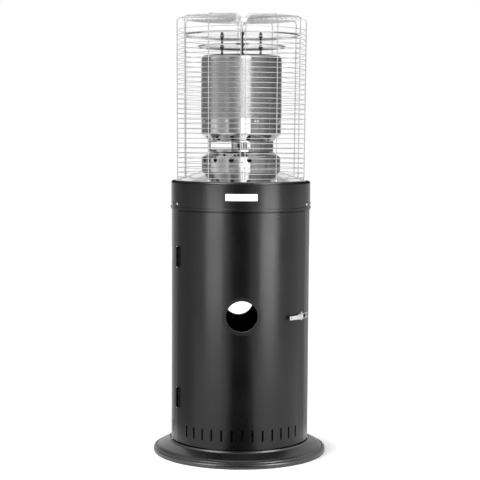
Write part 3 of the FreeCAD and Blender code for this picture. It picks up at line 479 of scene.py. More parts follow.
class Tree:
    """Short hand for building a node tree."""

    def __init__(self, tree: bpy.types.NodeTree) -> None:
        """Keeps the tree that nodes are added to."""
        self.tree = tree

    def add(self, kind: str, **settings: object) -> bpy.types.Node:
        """Adds a node.

        Args:
            kind: Kind of the node, without its usual first word.
            settings: Properties of the node.

        Returns:
            The node.
        """
        node = self.tree.nodes.new("ShaderNode" + kind)
        for key, value in settings.items():
            setattr(node, key, value)
        return node

    def wire(self, source: bpy.types.NodeSocket, target: bpy.types.NodeSocket) -> None:
        """Links two sockets."""
        self.tree.links.new(source, target)

    def feed(self, targets: Iterable[bpy.types.NodeSocket], *values: object) -> None:
        """Links sockets to sockets, or gives them values.

        Args:
            targets: Sockets that are fed, in order.
            values: A socket or a value for each of them.
        """
        for target, value in zip(targets, values):
            if isinstance(value, bpy.types.NodeSocket):
                self.wire(value, target)
            else:
                target.default_value = value

    def math(self, operation: str, *values: object) -> bpy.types.NodeSocket:
        """Math node with one to three inputs."""
        node = self.add("Math", operation=operation)
        self.feed(node.inputs, *values)
        return node.outputs[0]

    def noise(self, place: bpy.types.NodeSocket, scale: object, detail: float = 2.0,
              roughness: float = 0.5) -> bpy.types.NodeSocket:
        """Noise value at a place.

        Args:
            place: Place that the noise is read at.
            scale: Its scale, as a number or a socket.
            detail: Number of its octaves.
            roughness: Weight of its finer octaves.

        Returns:
            Socket of the value.
        """
        node = self.add("TexNoise")
        self.feed([node.inputs[label] for label in ("Vector", "Scale", "Detail", "Roughness")],
                  place, scale, detail, roughness)
        return node.outputs["Fac"]

    def stretched(self, place: bpy.types.NodeSocket, scale: Sequence[float]
                  ) -> bpy.types.NodeSocket:
        """Place scaled by axis."""
        node = self.add("Mapping")
        self.feed((node.inputs["Vector"], node.inputs["Scale"]), place, scale)
        return node.outputs["Vector"]

    def spread(self, value: bpy.types.NodeSocket, low: float, high: float, start: float = 0.0,
               end: float = 1.0) -> bpy.types.NodeSocket:
        """Maps low to high onto start to end, clamped."""
        node = self.add("MapRange", clamp=True)
        self.feed(node.inputs[:5], value, low, high, start, end)
        return node.outputs["Result"]

    def mix(self, share: object, first: object, second: object) -> bpy.types.NodeSocket:
        """Blends two colours."""
        node = self.add("Mix", data_type="RGBA")
        self.feed((node.inputs[0], node.inputs[6], node.inputs[7]), share, first, second)
        return node.outputs[2]

    def place(self) -> bpy.types.NodeSocket:
        """Object coordinates."""
        return self.add("TexCoord").outputs["Object"]

    def parts(self, vector: bpy.types.NodeSocket) -> tuple[bpy.types.NodeSocket, ...]:
        """X, Y and Z of a vector."""
        node = self.add("SeparateXYZ")
        self.wire(vector, node.inputs[0])
        return tuple(node.outputs)

    def vector(self, *parts: object) -> bpy.types.NodeSocket:
        """Vector of two or three parts."""
        node = self.add("CombineXYZ")
        self.feed(node.inputs, *parts)
        return node.outputs[0]

    def length(self, vector: bpy.types.NodeSocket) -> bpy.types.NodeSocket:
        """Length of a vector."""
        node = self.add("VectorMath", operation="LENGTH")
        self.wire(vector, node.inputs[0])
        return node.outputs["Value"]


def group(name: str, inputs: Sequence[tuple[str, float]], outputs: Sequence[str]
          ) -> tuple[bpy.types.NodeTree, Tree, bpy.types.Node, bpy.types.Node]:
    """Starts a shader node group.

    Args:
        name: Name of the group.
        inputs: Names and first values of its inputs.
        outputs: Names of its outputs.

    Returns:
        The group, its short hand, and its input and output nodes.
    """
    tree = bpy.data.node_groups.new(name, "ShaderNodeTree")
    tree.interface.new_socket("Place", in_out="INPUT", socket_type="NodeSocketVector")
    for label, value in inputs:
        socket = tree.interface.new_socket(label, in_out="INPUT", socket_type="NodeSocketFloat")
        socket.default_value = value
    for label in outputs:
        tree.interface.new_socket(label, in_out="OUTPUT", socket_type="NodeSocketFloat")
    return tree, Tree(tree), tree.nodes.new("NodeGroupInput"), tree.nodes.new("NodeGroupOutput")


def powder_group() -> bpy.types.NodeTree:
    """Sprayed powder coat: fine orange peel, slow change of gloss, and settled dust.

    Returns:
        The group.
    """
    tree, hand, given, out = group("powder_coat", [("Peel scale", 500.0), ("Dust", 0.2)],
                                   ["Height", "Gloss", "Dust"])
    place = given.outputs["Place"]
    speck_scale, speck_band, speck_share = 900.0, (0.62, 0.78), 0.6
    cloud_scale, cloud_band = 14.0, (0.42, 0.75)
    level_band, level_share = (0.2, 1.0), (0.25, 1.0)
    gloss_scale = 9.0
    specks = hand.spread(hand.noise(place, speck_scale, 1.0), *speck_band)
    clouds = hand.spread(hand.noise(place, cloud_scale, 4.0), *cloud_band)
    _, _, up = hand.parts(hand.add("NewGeometry").outputs["Normal"])
    settled = hand.spread(up, *level_band, *level_share)
    dust = hand.math("MULTIPLY", hand.math("MULTIPLY_ADD", specks, speck_share, clouds), settled)
    hand.feed(out.inputs, hand.noise(place, given.outputs["Peel scale"], 1.0),
              hand.noise(place, gloss_scale, 3.0),
              hand.math("MULTIPLY", dust, given.outputs["Dust"]))
    return tree


def brushed_group() -> bpy.types.NodeTree:
    """Grain of rolled or brushed steel with smudges where it was handled.

    Returns:
        The group.
    """
    tree, hand, given, out = group(
        "steel_grain", [("Along", 8.0), ("Across", 900.0), ("Smudge scale", 12.0)],
        ["Height", "Streak", "Smudge"])
    place, across = given.outputs["Place"], given.outputs["Across"]
    streak_roughness, smudge_band = 0.6, (0.4, 0.7)
    x, y, z = hand.parts(place)
    lines = hand.vector(
        hand.math("MULTIPLY", hand.math("ARCTAN2", x, y), given.outputs["Along"]),
        hand.math("MULTIPLY", z, across),
        hand.math("MULTIPLY", hand.length(hand.vector(x, y)), across))
    streak = hand.noise(lines, 1.0, 3.0, streak_roughness)
    smudge = hand.noise(place, given.outputs["Smudge scale"], 4.0)
    hand.feed(out.inputs, streak, streak, hand.spread(smudge, *smudge_band))
    return tree


def perforation_group() -> bpy.types.NodeTree:
    """Staggered rows of round holes on a sleeve about the middle axis.

    Returns:
        The group.
    """
    tree, hand, given, out = group(
        "perforation", [("Radius", 0.125), ("Pitch", 0.003), ("Hole", 0.3)], ["Hole", "Height"])
    row_share, soft_edge = math.sqrt(0.75), 0.03
    pitch = given.outputs["Pitch"]
    x, y, z = hand.parts(given.outputs["Place"])
    arc = hand.math("MULTIPLY", hand.math("ARCTAN2", x, y), given.outputs["Radius"])
    column = hand.math("DIVIDE", arc, pitch)
    row = hand.math("DIVIDE", z, hand.math("MULTIPLY", pitch, row_share))
    shift = hand.math("MULTIPLY", hand.math("MODULO", hand.math("FLOOR", row), 2.0), 0.5)
    side = hand.math("SUBTRACT", hand.math("FRACT", hand.math("ADD", column, shift)), 0.5)
    rise = hand.math("SUBTRACT", hand.math("FRACT", row), 0.5)
    tall = hand.math("MULTIPLY", rise, row_share)
    square = hand.math("MULTIPLY_ADD", side, side, hand.math("MULTIPLY", tall, tall))
    inside = hand.math("SUBTRACT", given.outputs["Hole"], hand.math("SQRT", square))
    hole = hand.spread(inside, -soft_edge, soft_edge)
    hand.feed(out.inputs, hole, hand.math("SUBTRACT", 1.0, hole))
    return tree


@dataclass
class Groups:
    """Shared surface effects, built once."""

    powder: bpy.types.NodeTree = field(default_factory=powder_group)
    grain: bpy.types.NodeTree = field(default_factory=brushed_group)
    holes: bpy.types.NodeTree = field(default_factory=perforation_group)


def principled(name: str, **values: object) -> tuple[bpy.types.Material, Tree, bpy.types.Node]:
    """Starts a material with its Principled shader.

    Args:
        name: Name of the material.
        values: Values of the shader's sockets, with underscores for the spaces in their names.

    Returns:
        The material, the short hand of its tree, and the shader.
    """
    material = bpy.data.materials.new(name)
    material.use_nodes = True
    shader = material.node_tree.nodes["Principled BSDF"]
    for label, value in values.items():
        shader.inputs[label.replace("_", " ")].default_value = value
    return material, Tree(material.node_tree), shader


@dataclass(frozen=True)
class Finish:
    """A finish that makes one material."""

    name: str
    color: tuple[float, float, float]
    roughness: float

    def base(self, **values: object) -> tuple[bpy.types.Material, Tree, bpy.types.Node]:
        """Starts the material with its colour, its roughness and other values."""
        return principled(self.name, Base_Color=self.tint(1.0), Roughness=self.roughness,
                          **values)

    def effect(self, hand: Tree, tree: bpy.types.NodeTree, **values: float) -> bpy.types.Node:
        """Places a shared effect with its own values.

        Args:
            hand: Short hand of the material's tree.
            tree: The shared effect.
            values: Values of its inputs, with underscores for the spaces in their names.

        Returns:
            The effect's node.
        """
        node = hand.add("Group", node_tree=tree)
        hand.wire(hand.place(), node.inputs["Place"])
        for label, value in values.items():
            node.inputs[label.replace("_", " ")].default_value = value
        return node

    def bump(self, hand: Tree, shader: bpy.types.Node, height: bpy.types.NodeSocket,
             strength: float, distance: float) -> None:
        """Bumps the surface.

        Args:
            hand: Short hand of the material's tree.
            shader: The material's shader.
            height: Height that the surface follows.
            strength: Share of the bump that shows.
            distance: Depth of the bump.
        """
        node = hand.add("Bump")
        hand.feed([node.inputs[label] for label in ("Strength", "Distance", "Height")],
                  strength, distance, height)
        hand.wire(node.outputs["Normal"], shader.inputs["Normal"])

    def tint(self, factor: float) -> tuple[float, float, float, float]:
        """The colour, lighter or darker."""
        return (*(min(part * factor, 1.0) for part in self.color), 1.0)


@dataclass(frozen=True)
class PowderCoat(Finish):
    """Black powder coat with orange peel and a little dust."""

    peel: float = 700.0
    relief: float = 0.35
    depth: float = 0.00002
    gleam: float = 0.34
    gloss_swing: float = 0.03
    shades: tuple[float, float] = (0.85, 1.2)
    dust: float = 0.04
    dust_color: tuple[float, float, float] = (0.11, 0.105, 0.1)
    dust_roughness: float = 0.25

    def make(self, groups: Groups) -> bpy.types.Material:
        """Builds the material.

        Args:
            groups: The shared surface effects.

        Returns:
            The material.
        """
        material, hand, shader = self.base(Specular_IOR_Level=self.gleam)
        coat = self.effect(hand, groups.powder, Peel_scale=self.peel, Dust=self.dust)
        dust, gloss = coat.outputs["Dust"], coat.outputs["Gloss"]
        mottled = hand.mix(gloss, *map(self.tint, self.shades))
        hand.wire(hand.mix(dust, mottled, (*self.dust_color, 1.0)), shader.inputs["Base Color"])
        rough = hand.spread(gloss, *NOISE_BAND, self.roughness - self.gloss_swing,
                            self.roughness + self.gloss_swing)
        hand.wire(hand.math("MULTIPLY_ADD", dust, self.dust_roughness, rough),
                  shader.inputs["Roughness"])
        self.bump(hand, shader, coat.outputs["Height"], self.relief, self.depth)
        return material


@dataclass(frozen=True)
class Steel(Finish):
    """Bare steel with rolled grain and smudges."""

    along: float = 6.0
    across: float = 1500.0
    relief: float = 0.4
    depth: float = 0.000004
    shades: tuple[float, float] = (0.86, 1.12)
    streak: float = 0.06
    smudge: float = 0.08
    smudge_share: float = 0.25
    smudge_shade: float = 0.72

    def make(self, groups: Groups) -> bpy.types.Material:
        """Builds the material.

        Args:
            groups: The shared surface effects.

        Returns:
            The material.
        """
        material, hand, shader = self.base(Metallic=1.0)
        grain = self.effect(hand, groups.grain, Along=self.along, Across=self.across)
        streak, smudge = grain.outputs["Streak"], grain.outputs["Smudge"]
        color = hand.mix(streak, *map(self.tint, self.shades))
        color = hand.mix(hand.math("MULTIPLY", smudge, self.smudge_share), color,
                         self.tint(self.smudge_shade))
        hand.wire(color, shader.inputs["Base Color"])
        rough = hand.math("MULTIPLY_ADD", smudge, self.smudge, self.roughness)
        hand.wire(hand.math("MULTIPLY_ADD", streak, self.streak, rough),
                  shader.inputs["Roughness"])
        self.bump(hand, shader, grain.outputs["Height"], self.relief, self.depth)
        return material


@dataclass(frozen=True)
class Perforated(Finish):
    """Steel sleeve with fine staggered holes, painted dark as the shade inside them."""

    radius: float = 0.1258
    pitch: float = 0.0032
    hole: float = 0.29
    # Dark colour of the holes: painted shade of the sleeve's inside, seen through them.
    hole_shade_color: tuple[float, float, float] = (0.02, 0.018, 0.016)
    hole_roughness: float = 0.5
    relief: float = 0.5
    depth: float = 0.0003
    along: float = 5.0
    across: float = 240.0
    shades: tuple[float, float] = (0.85, 1.12)
    smudge: float = 0.07

    def make(self, groups: Groups) -> bpy.types.Material:
        """Builds the material.

        Args:
            groups: The shared surface effects.

        Returns:
            The material.
        """
        material, hand, shader = self.base()
        holes = self.effect(hand, groups.holes, Radius=self.radius, Pitch=self.pitch,
                            Hole=self.hole)
        grain = self.effect(hand, groups.grain, Along=self.along, Across=self.across)
        hole = holes.outputs["Hole"]
        sheet = hand.mix(grain.outputs["Streak"], *map(self.tint, self.shades))
        # The holes take the dark colour: painted shade.
        hand.wire(hand.mix(hole, sheet, (*self.hole_shade_color, 1.0)), shader.inputs["Base Color"])
        hand.wire(hand.math("SUBTRACT", 1.0, hole), shader.inputs["Metallic"])
        rough = hand.math("MULTIPLY_ADD", grain.outputs["Smudge"], self.smudge, self.roughness)
        hand.wire(hand.math("MULTIPLY_ADD", hole, self.hole_roughness, rough),
                  shader.inputs["Roughness"])
        self.bump(hand, shader, holes.outputs["Height"], self.relief, self.depth)
        return material


@dataclass(frozen=True)
class Plated(Finish):
    """Chrome, zinc or cast metal with mottling and faint scratches."""

    second: tuple[float, float, float] = (0.5, 0.5, 0.52)
    share: float = 0.4
    crystal: bool = False
    mottle: float = 40.0
    mottle_band: tuple[float, float] = (0.35, 0.7)
    mottle_roughness: float = 0.1
    scratch: tuple[float, float, float] = (900.0, 900.0, 60.0)
    scratch_band: tuple[float, float] = (0.6, 0.75)
    scratch_roughness: float = 0.12
    relief: float = 0.15
    depth: float = 0.00001

    def make(self, groups: Groups) -> bpy.types.Material:
        """Builds the material.

        Args:
            groups: The shared surface effects, none of which it uses.

        Returns:
            The material.
        """
        material, hand, shader = self.base(Metallic=1.0)
        place = hand.place()
        if self.crystal:
            cells = hand.add("TexVoronoi")
            hand.feed((cells.inputs["Vector"], cells.inputs["Scale"]), place, self.mottle)
            channels = hand.add("SeparateColor")
            hand.wire(cells.outputs["Color"], channels.inputs[0])
            cloud = channels.outputs[0]
        else:
            cloud = hand.spread(hand.noise(place, self.mottle, 3.0), *self.mottle_band)
        scratch = hand.spread(hand.noise(hand.stretched(place, self.scratch), 1.0),
                              *self.scratch_band)
        share = hand.math("MULTIPLY", cloud, self.share)
        hand.wire(hand.mix(share, self.tint(1.0), (*self.second, 1.0)),
                  shader.inputs["Base Color"])
        rough = hand.math("MULTIPLY_ADD", cloud, self.mottle_roughness, self.roughness)
        hand.wire(hand.math("MULTIPLY_ADD", scratch, self.scratch_roughness, rough),
                  shader.inputs["Roughness"])
        self.bump(hand, shader, scratch, self.relief, self.depth)
        return material


@dataclass(frozen=True)
class Moulded(Finish):
    """Moulded plastic, ceramic, card, or the near-black liner painted as shade behind holes, with a
    fine grain.
    """

    grain: float = 1200.0
    relief: float = 0.3
    depth: float = 0.00003
    cloud: float = 30.0
    cloud_roughness: float = 0.08
    fade: float = 1.25
    gleam: float = 0.5

    def make(self, groups: Groups) -> bpy.types.Material:
        """Builds the material.

        Args:
            groups: The shared surface effects, none of which it uses.

        Returns:
            The material.
        """
        material, hand, shader = self.base(Specular_IOR_Level=self.gleam)
        place = hand.place()
        cloud = hand.spread(hand.noise(place, self.cloud, 3.0), *NOISE_BAND)
        hand.wire(hand.mix(cloud, self.tint(1.0), self.tint(self.fade)),
                  shader.inputs["Base Color"])
        hand.wire(hand.math("MULTIPLY_ADD", cloud, self.cloud_roughness, self.roughness),
                  shader.inputs["Roughness"])
        self.bump(hand, shader, hand.noise(place, self.grain), self.relief, self.depth)
        return material


@dataclass
class Palette:
    """All materials of the heater, by the record's slot names."""

    groups: Groups = field(default_factory=Groups)
    made: dict[str, bpy.types.Material] = field(default_factory=dict)

    FINISHES = (
        PowderCoat("body_paint", (0.0028, 0.0028, 0.003), 0.26),
        PowderCoat("shell_paint", (0.0028, 0.0028, 0.003), 0.26, gleam=0.66),
        PowderCoat("base_paint", (0.003, 0.003, 0.0032), 0.28, dust=0.05, gleam=1.0),
        PowderCoat("hinge_black", (0.002, 0.002, 0.0022), 0.6, dust=0.02, gleam=0.15),
        PowderCoat("collar_grey", (0.009, 0.009, 0.0095), 0.36, dust=0.05, gleam=0.22),
        Steel("stainless", (0.66, 0.66, 0.665), 0.06, smudge=0.04),
        Perforated("emitter_mesh", (0.7, 0.7, 0.7), 0.2),
        Steel("bright_disc", (0.72, 0.72, 0.725), 0.07, along=30.0, across=400.0,
              depth=0.000001),
        Plated("chrome_wire", (0.92, 0.92, 0.93), 0.34, second=(0.34, 0.34, 0.35)),
        Plated("latch_chrome", (0.8, 0.8, 0.81), 0.14, second=(0.36, 0.36, 0.37)),
        Plated("zinc", (0.72, 0.73, 0.75), 0.24, second=(0.52, 0.52, 0.5)),
        Plated("rod_dark", (0.08, 0.078, 0.078), 0.4, second=(0.16, 0.13, 0.11)),
        # Near-black liner behind the air holes: painted shade of the burner's inside.
        Moulded("shade_liner", (0.003, 0.003, 0.003), 0.8, gleam=0.08),
        Plated("galvanised", (0.55, 0.56, 0.58), 0.34, mottle=70.0, share=0.6, crystal=True,
               second=(0.4, 0.41, 0.43)),
        Plated("brass", (0.72, 0.52, 0.24), 0.26, second=(0.5, 0.36, 0.17)),
        Moulded("knob_plastic", (0.02, 0.02, 0.021), 0.42),
        Moulded("switch_plastic", (0.04, 0.04, 0.042), 0.5),
        Moulded("ceramic", (0.82, 0.8, 0.76), 0.22, fade=0.92),
        Moulded("bare_plate", (0.86, 0.86, 0.85), 0.35, grain=2500.0, fade=0.96),
    )

    def build(self) -> None:
        """Makes every material."""
        for finish in self.FINISHES:
            self.made[finish.name] = finish.make(self.groups)

    def wearing(self, *finishes: str) -> list[bpy.types.Object]:
        """Pieces that have one of some finishes."""
        materials = [self.made[finish] for finish in finishes]
        return [piece for piece in bpy.data.objects if piece.type == "MESH"
                and piece.data.materials and piece.data.materials[0] in materials]

    def dress_nodes(self, frame: dict) -> None:
        """Gives each CAD node the material of its slot.

        Args:
            frame: The frame as it was loaded, with its record and its nodes.
        """
        slots = {part["node"]: part["material_slot"] for part in frame["record"]["subparts"]}
        for name, node in frame["nodes"].items():
            for slot in node.material_slots:
                slot.material = self.made[slots[name]]

    def dress(self, piece: bpy.types.Object, slot: str, *replaces: str,
              body: Body = Body.HEATER, finish: str = "") -> None:
        """Finishes a new piece and lets it ride.

        Args:
            piece: The new piece.
            slot: The record's material slot.
            replaces: CAD nodes that it stands for.
            body: Body that it rides on.
            finish: Material, where it isn't the slot's own.
        """
        piece.data.materials.clear()
        piece.data.materials.append(self.made[finish or slot])
        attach(piece, body.value)
        if replaces:
            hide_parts(*replaces)
        LOG.info("%s: %d faces", piece.name, len(piece.data.polygons))

    def refine(self, node: str, slot: str, width: float, body: Body = Body.HEATER,
               segments: int = 2, finish: str = "") -> None:
        """Puts a copy with rounded edges in the place of a CAD node.

        Args:
            node: CAD node that the copy stands for.
            slot: The record's material slot.
            width: Width of the rounding.
            body: Body that it rides on.
            segments: Segments of the rounding.
            finish: Material, where it isn't the slot's own.
        """
        self.dress(Bench.refined(node, width, segments), slot, node, body=body, finish=finish)


@dataclass(frozen=True)
class Span:
    """Outer radius and levels of a round CAD node."""

    radius: float
    bottom: float
    top: float

    @classmethod
    def of(cls, node: str) -> "Span":
        """Span of a node of the frame."""
        low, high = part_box(node)
        return cls(max(high.x, high.y, -low.x, -low.y), low.z, high.z)


@dataclass
class Fasteners:
    """Small screws and rivets, each modelled once and copied."""

    palette: Palette
    sides: int = 20
    wall_share: float = 0.4
    dome_steps: Steps = ((0.8, 0.34), (0.5, 0.2))
    recess_rim: float = 0.1
    recess_depth: float = 0.35

    def dome(self, diameter: float, rise: float) -> bpy.types.Object:
        """Domed head with a recess, lying on its seat, its top towards +Z.

        Args:
            diameter: Diameter of the head.
            rise: Height of the head, but for the dome's rounding.

        Returns:
            The head.
        """
        Bench.clear()
        radius, wall = diameter / 2.0, rise * self.wall_share
        bpy.ops.mesh.primitive_cylinder_add(vertices=self.sides, radius=radius, depth=wall,
                                            location=(0, 0, wall / 2.0))
        Bench.pick(Bench.applied(), lambda face: face.normal.z > 0.9)
        for share, lift in self.dome_steps:
            bpy.ops.mesh.extrude_region_move(
                TRANSFORM_OT_translate={"value": (0, 0, rise * lift)})
            Bench.scaled(share)
        bpy.ops.mesh.inset(thickness=radius * self.recess_rim)
        bpy.ops.mesh.extrude_region_move(
            TRANSFORM_OT_translate={"value": (0, 0, -rise * self.recess_depth)})
        return Bench.tidy("dome")

    def row(self, name: str, size: tuple[float, float], places: Sequence[Matrix],
            body: Body = Body.HEATER, slot: str = "zinc") -> None:
        """Sets a row of heads.

        Args:
            name: Name of the joined piece.
            size: Diameter and height of each head.
            places: Placement of each head.
            body: Body that they ride on.
            slot: The record's material slot.
        """
        self.palette.dress(Bench.copied(self.dome(*size), places, name), slot, body=body)


@dataclass
class Base:
    """Pressed base pan with a sloping edge and a rolled bead."""

    palette: Palette
    fasteners: Fasteners
    sheet: float = 0.002
    rim_margin: float = 0.006
    rim_step: float = 0.0025
    rim_corner: float = 0.004
    lip: float = 0.0028
    lip_foot: float = 0.0042
    lip_width: float = 0.0026
    lip_lean: float = 0.0006
    lip_corners: tuple[float, float, float] = (0.0008, 0.0008, 0.0012)
    knee: tuple[float, float] = (0.0137, 0.0224)
    knee_corner: float = 0.019
    foot: tuple[float, float] = (0.0098, 0.0150)
    crease: tuple[float, float, float] = (0.0006, 0.0002, 0.0003)
    bead_top: float = 0.0178
    bead_crown: float = 0.0068
    bead_drop: float = 0.0038
    bead_width: float = 0.013
    bead_corners: tuple[float, float, float, float] = (0.002, 0.006, 0.0032, 0.003)
    under_drop: float = 0.003
    under_corners: tuple[float, float] = (0.014, 0.006)
    sides: int = 224
    screw_azimuths: tuple[float, ...] = (-76.5, 80.0, 150.0, 210.0)
    screw_level: float = 0.006
    screw: tuple[float, float] = (0.0085, 0.003)

    def outline(self, span: Span, rim: float) -> Outline:
        """Section of the pan.

        Args:
            span: Span of the pan.
            rim: Radius where its flat top ends.

        Returns:
            Its upper face, its bead and its lower face, from axis to axis.
        """
        foot = span.radius - self.foot[0]
        inner = span.radius - self.bead_width
        knee, knee_level = span.radius - self.knee[0], self.knee[1]
        lip = span.top + self.lip
        upper = rounded([
            (AXIS_GAP, span.top, 0.0),
            (rim - self.lip_foot, span.top, self.lip_corners[0]),
            (rim - self.lip_width, lip, self.lip_corners[1]),
            (rim, lip, self.lip_corners[2]),
            (rim + self.lip_lean, span.top - self.rim_step, self.rim_corner),
            (knee, knee_level, self.knee_corner),
            (foot, self.foot[1], 0.0),
        ], 10)
        bead = rounded([
            (foot, self.foot[1], 0.0),
            (foot + self.crease[0], self.foot[1] - self.crease[1], self.crease[2]),
            (span.radius - self.bead_crown, self.bead_top, self.bead_corners[0]),
            (span.radius, self.bead_top - self.bead_drop, self.bead_corners[1]),
            (span.radius, 0.0, self.bead_corners[2]),
            (inner, 0.0, self.bead_corners[3]),
            (inner, self.foot[1] - self.under_drop, 0.0),
        ], 8)
        lower = rounded([
            (inner, self.foot[1] - self.under_drop, 0.0),
            (knee - self.sheet, knee_level - self.sheet, self.under_corners[0]),
            (rim, span.top - self.rim_step - self.sheet, self.under_corners[1]),
            (rim - self.sheet, span.top - self.sheet, 0.0),
            (AXIS_GAP, span.top - self.sheet, 0.0),
        ], 8)
        return upper + bead[1:-1] + lower

    def build(self, housing: Span) -> None:
        """Models the pan and the screws that hold the housing to it.

        Args:
            housing: Span of the housing.
        """
        outline = self.outline(Span.of("base_pan"), housing.radius + self.rim_margin)
        pan = Bench.turned("base_dish", outline, self.sides, looped=False)
        self.palette.dress(pan, "base_paint", "base_pan")
        level = housing.bottom + self.screw_level
        self.fasteners.row("foot_screws", self.screw, [
            facing(azimuth, housing.radius, level) for azimuth in self.screw_azimuths])


@dataclass
class Housing:
    """Door and wall with their hinges and trim rings."""

    palette: Palette
    fasteners: Fasteners
    door_edge: float = 0.001
    collar_edge: float = 0.0012
    hinge_edge: float = 0.0004
    hinge_height: float = 0.062
    rivet: tuple[float, float] = (0.0044, 0.0012)
    rivet_lift: float = 0.0015
    rivet_turn: float = 0.9
    rivet_shares: tuple[float, float] = (-0.25, 0.25)

    def build(self) -> None:
        """Dresses the hinges, the trim rings, the door and the wall."""
        for side in ("upper", "lower"):
            self.hinge(side, "frame", Body.HEATER, -self.rivet_turn)
            self.hinge(side, "door", Body.DOOR, self.rivet_turn)
        for node, body in (("door_hole_collar", Body.DOOR), ("rear_hole_collar", Body.HEATER)):
            self.palette.refine(node, "collar_grey", self.collar_edge, body, 3)
        self.palette.refine("front_door", "body_paint", self.door_edge, Body.DOOR)
        self.palette.refine("housing_shell", "body_paint", self.door_edge, finish="shell_paint")

    def hinge(self, side: str, leaf: str, body: Body, away: float) -> None:
        """Rounds one leaf of a hinge and sets its rivets.

        Args:
            side: The upper or the lower hinge.
            leaf: The frame's or the door's leaf.
            body: Body that the leaf rides on.
            away: Degrees from the leaf's middle to its rivets.
        """
        node = f"hinge_{side}_{leaf}_leaf"
        self.palette.refine(node, "hinge_black", self.hinge_edge, body)
        low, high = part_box(node)
        middle = (low + high) / 2.0
        azimuth = math.degrees(math.atan2(middle.x, -middle.y)) + away
        radius = Span.of("front_door").radius + self.rivet_lift
        places = [facing(azimuth, radius, middle.z + share * self.hinge_height)
                  for share in self.rivet_shares]
        self.fasteners.row(f"hinge_{side}_{leaf}_rivets", self.rivet, places, body, "rod_dark")


@dataclass
class Latch:
    """Chrome toggle latch on the door's free edge."""

    palette: Palette

    def build(self) -> None:
        """Rounds the latch's pieces."""
        for node, body, width in (
            ("latch_base", Body.DOOR, 0.0003),
            ("latch_lever", Body.LEVER, 0.0004),
            ("latch_bail", Body.BAIL, 0.0006),
            ("latch_keeper", Body.HEATER, 0.0003),
        ):
            self.palette.refine(node, "latch_chrome", width, body)


@dataclass
class Band:
    """Black band round the burner space with a rolled rim, screws and a bare plate."""

    palette: Palette
    fasteners: Fasteners
    sheet: float = 0.0012
    roll: float = 0.0038
    rim_rise: float = 0.0068
    rim_corner: float = 0.0072
    rim_edge: float = 0.0003
    flange: float = 0.020
    flange_corner: float = 0.0006
    seam_rise: float = 0.0016
    seam_level: float = 0.0015
    seam_corner: float = 0.0008
    hem: tuple[float, float] = (0.0006, 0.0075)
    hem_slope: float = 0.0016
    hem_corner: float = 0.0004
    sides: int = 224
    screw_azimuths: tuple[float, ...] = (-76.6, -64.2, 67.2, 80.8, 140.0, 220.0)
    screw_level: float = 0.020
    screw: tuple[float, float] = (0.0095, 0.0032)
    stub_azimuths: tuple[float, ...] = (-93.0, 91.0)
    stub_level: float = 0.007
    stub_sink: float = 0.0005
    stub: tuple[float, float] = (0.0065, 0.004)
    plate_azimuth: float = -0.8
    plate_width: float = 0.097
    plate_bottom: float = 0.0345
    plate_height: float = 0.0205
    plate_lift: float = 0.00005
    plate_sheet: float = 0.0005
    plate_steps: int = 32
    bezel_hole: float = 0.014
    bezel_sides: int = 40
    bezel_reach: tuple[float, float] = (-0.02, 0.01)
    knob_level: float = 0.808

    def build(self, housing: Span) -> None:
        """Models the band, its screws and its plate.

        Args:
            housing: Span of the housing.
        """
        span = Span.of("control_band")
        self.skin(span, housing.radius - self.flange)
        for name, size, azimuths, radius, level, slot in (
            ("band_screws", self.screw, self.screw_azimuths, span.radius, self.screw_level,
             "zinc"),
            ("band_stubs", self.stub, self.stub_azimuths, span.radius - self.stub_sink,
             self.stub_level, "rod_dark"),
        ):
            places = [facing(azimuth, radius, span.bottom + level) for azimuth in azimuths]
            self.fasteners.row(name, size, places, slot=slot)
        sweep = math.degrees(self.plate_width / span.radius)
        low = span.bottom + self.plate_bottom
        section = [(span.radius + self.plate_lift, low),
                   (span.radius + self.plate_sheet, low + self.plate_height)]
        plate = Bench.swept("bare_plate", section, self.plate_azimuth - sweep / 2.0, sweep,
                            self.plate_steps)
        self.palette.dress(plate, "body_paint", finish="bare_plate")

    def skin(self, span: Span, inner: float) -> None:
        """Models the band with its hem, its rolled rim and the hole for the knob.

        Args:
            span: Span of the band.
            inner: Radius where its lower flange ends.
        """
        radius = span.radius
        seam = span.bottom + self.seam_level
        out, tall = self.hem
        rim, behind = span.top + self.rim_rise, radius - 2.0 * self.roll
        outside = rounded([
            (inner, span.bottom, 0.0),
            (radius - self.seam_rise, span.bottom, self.flange_corner),
            (radius + out, seam, self.seam_corner),
            (radius + out, seam + tall, self.hem_corner),
            (radius, seam + tall + self.hem_slope, self.hem_corner),
            (radius, rim, self.rim_corner),
            (behind, rim, self.rim_edge),
            (behind, span.top - 2.0 * self.roll, 0.0),
        ], 8)
        band = Bench.turned("band_skin", walled(outside, -self.sheet), self.sides)
        start, end = (at_azimuth(radius + reach, 180.0, self.knob_level)
                      for reach in self.bezel_reach)
        Bench.cut(band, Bench.rod("hole", start, end, self.bezel_hole, self.bezel_sides))
        self.palette.dress(band, "body_paint", "control_band")


